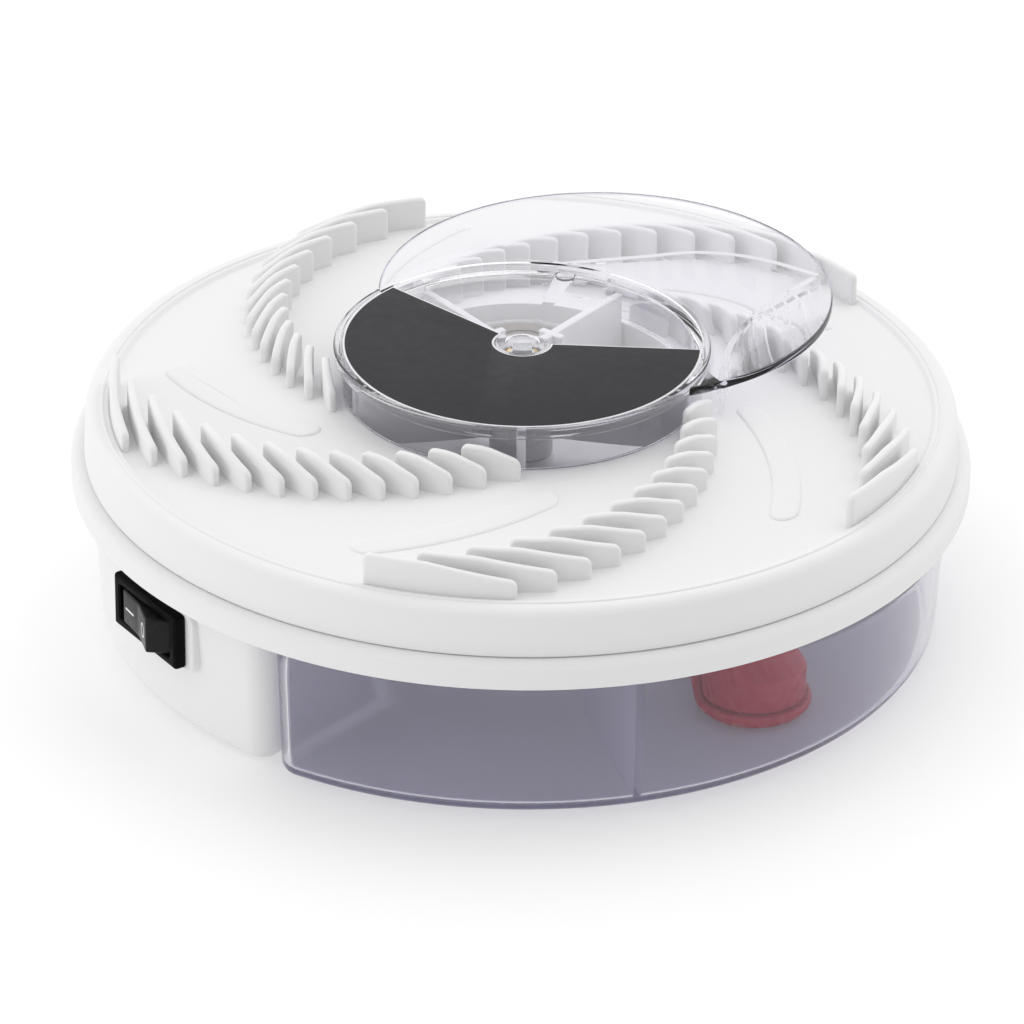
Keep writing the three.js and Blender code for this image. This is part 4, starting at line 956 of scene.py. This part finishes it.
def drawer():
    ob = turned(tub("drawer", drawer_outline, TRAY_Z, TRAY_TOP_Z, DRAWER_WALL, 2.0, 3.2), DRAWER_TURN)
    start, reach = DRAWER_NOTCH_R + DRAWER_WALL / 2, HOUSE_R - DRAWER_WALL / 2
    bottom, top = TRAY_Z + 1.5, TRAY_TOP_Z - 3
    divider = block("divider", reach - start, DRAWER_WALL, top - bottom, (reach + start) / 2, 0,
                    (top + bottom) / 2, 0.25, 0.3, rad(286))
    add(ob, divider)
    finish_piece(ob, "drawer", SMOKE, ["drawer_tray"], 30)
    ob.data.materials.clear()
    for material in (SMOKE, SMOKE_EDGE, SMOKE_BACK):
        ob.data.materials.append(material)
    edge, back = 1, 2
    for face in ob.data.polygons:
        centre = face.center / MM
        radius = math.hypot(centre.x, centre.y)
        if radius < HOUSE_R - 4:
            face.material_index = back
        elif centre.z < TRAY_Z + 2.6 and radius > HOUSE_R - 1.2:
            face.material_index = edge


drawer()


def bait_pot():
    x, y = (cup_low[0] + cup_high[0]) / 2, (cup_low[1] + cup_high[1]) / 2
    z = cup_low[2]
    r, lid, floor_z = 12.8, 11.5, cup_low[2] + 1.6
    cup = [(0, z), (r - 1.2, z), (r, floor_z), (r - 0.3, z + 3.0), (lid - 1.6, z + 3.2), (lid - 1.6, floor_z),
           (0, floor_z)]
    ob = lathe("bait_cup_red", rounded(cup, [0, 0.8, 1.0, 0.7, 0.2, 0.4, 0], 0, 6, closed=False), 96)
    finish_piece(moved(ob, x, y), "bait_pot", RED, ["bait_cup"])
    top, low = lid_high[2], lid_low[2]
    cap = [(0, top - 2.2), (lid - 3, top - 2.2), (lid - 1.8, top - 3.2), (lid - 1.8, low), (lid, low),
           (lid, top - 2.2), (lid - 2.0, top), (lid - 3.6, top), (lid - 4.3, top - 0.5), (0, top - 0.5)]
    radii = [0, 0.4, 0.4, 0.3, 0.3, 1.6, 1.4, 0.6, 0.5, 0]
    ob = lathe("bait_cap_red", rounded(cap, radii, 0, 6, closed=False), 96)
    finish_piece(moved(ob, x, y), "bait_lid", RED, ["bait_lid"])


bait_pot()


# ------------------------------------------------------------------ rocker switch

def switch_frame():
    face = -BEZEL_FACE_Y
    back = face - 2.7
    outer = rectangle(25.4, 12.8, 0, SWITCH_Z)
    shell = rectangle(22.2, 10.2, 0, SWITCH_Z)
    well = rectangle(20.6, 8.6, 0, SWITCH_Z)

    def ring(base, z, inset=0.0, r=0.9):
        return [(x, y, z) for x, y in rounded(base, r, inset, 4)]

    rings = [ring(shell, back - 17, 0, 0.4), ring(shell, back, 0, 0.4)]
    rings += [ring(outer, back, 0.15), ring(outer, back + 0.2)]
    rings += [ring(outer, face - 0.8), ring(outer, face - 0.35, 0.2), ring(outer, face, 0.75)]
    rings += [ring(well, face, -0.35, 0.6), ring(well, face - 0.35, 0, 0.6), ring(well, face - 12, 0, 0.6)]
    body = facing(loft("switch_frame", rings))
    finish_piece(body, "base", BLACK, ["switch_body"])


switch_frame()


def mark_ring(name):
    """Oval ring, a little taller than it is wide."""
    squeeze = 0.35
    section = ((1.38, -0.3), (1.38, 0.05), (1.75, 0.05), (1.75, -0.3))
    angles = [t * math.pi / 24 for t in range(48)]
    rings = [[((r - squeeze) * math.cos(a), r * math.sin(a), z) for a in angles] for r, z in section]
    return loft(name, rings, closed=True)


def rocker():
    """The rocker is drawn in plan, pivot at the origin, then tilted with its left end pressed."""
    tilt, valley, end_x, end_y = rad(-12), -4.9, 7.3, -5.8
    shape = [(-8.4, 2.5), (-9.8, -0.8), (-end_x, end_y), (0, valley), (end_x, end_y), (9.8, -0.8), (8.4, 2.5)]
    half, edge = 4.05, 0.45
    sections = []
    for k in range(4):
        a = math.pi / 2 * k / 3
        sections.append((-half + edge * (1 - math.cos(a)), edge * (1 - math.sin(a))))
    sections += [(-w, inset) for w, inset in sections[::-1]]
    rings = []
    for w, inset in sections:
        rings.append([(x, y, w) for x, y in rounded(shape, [0.5, 0.8, 0.7, 6, 0.7, 0.8, 0.5], inset, 6)])
    ob = loft("rocker", rings)
    place = (Matrix.Rotation(SWITCH_TURN, 4, "Z") @ Matrix.Translation(Vector((0, PIVOT_Y, SWITCH_Z)) * MM)
             @ Matrix.Rotation(tilt, 4, "Z"))
    ob.data.transform(place)
    finish_piece(ob, "rocker", ROCKER, ["switch_rocker"])

    # Marks lie on the two faces: a bar on the pressed half and a ring on the raised half.
    rise = (valley - end_y) / end_x
    slope = math.atan(rise)
    bar = slab("mark_bar", lambda inset: rounded(rectangle(3.9, 0.46), 0.15, inset, 3), -0.3, 0.06, 0.02)
    for mark, side, middle in ((bar, -1, 4.1), (mark_ring("mark_ring"), 1, 4.4)):
        spot = Vector((side * middle, valley - rise * middle, 0)) * MM
        lean = Matrix.Rotation(-side * slope, 4, "Z") @ Matrix.Rotation(math.pi / 2, 4, "X")
        mark.data.transform(place @ Matrix.Translation(spot) @ lean)
        finish_piece(mark, "rocker", MARK)


rocker()


# ------------------------------------------------------------------ CAD nodes that keep their own shape

FINISHES = {
    "steel": STEEL, "motor_metal": SHEET, "brass": BRASS, "acetal": ACETAL, "rubber": RUBBER,
    "black_plastic": BLACK, "board_green": BOARD, "wire_red": WIRE_RED, "wire_black": WIRE_BLACK,
    "white_plastic": WHITE, "clear_plastic": CLEAR, "smoke_plastic": SMOKE, "red_plastic": RED,
    "black_film": FILM,
}
for part in frame["record"]["subparts"]:
    node = frame["nodes"][part["node"]]
    node.data.materials.clear()
    node.data.materials.append(FINISHES[part["material_slot"]])
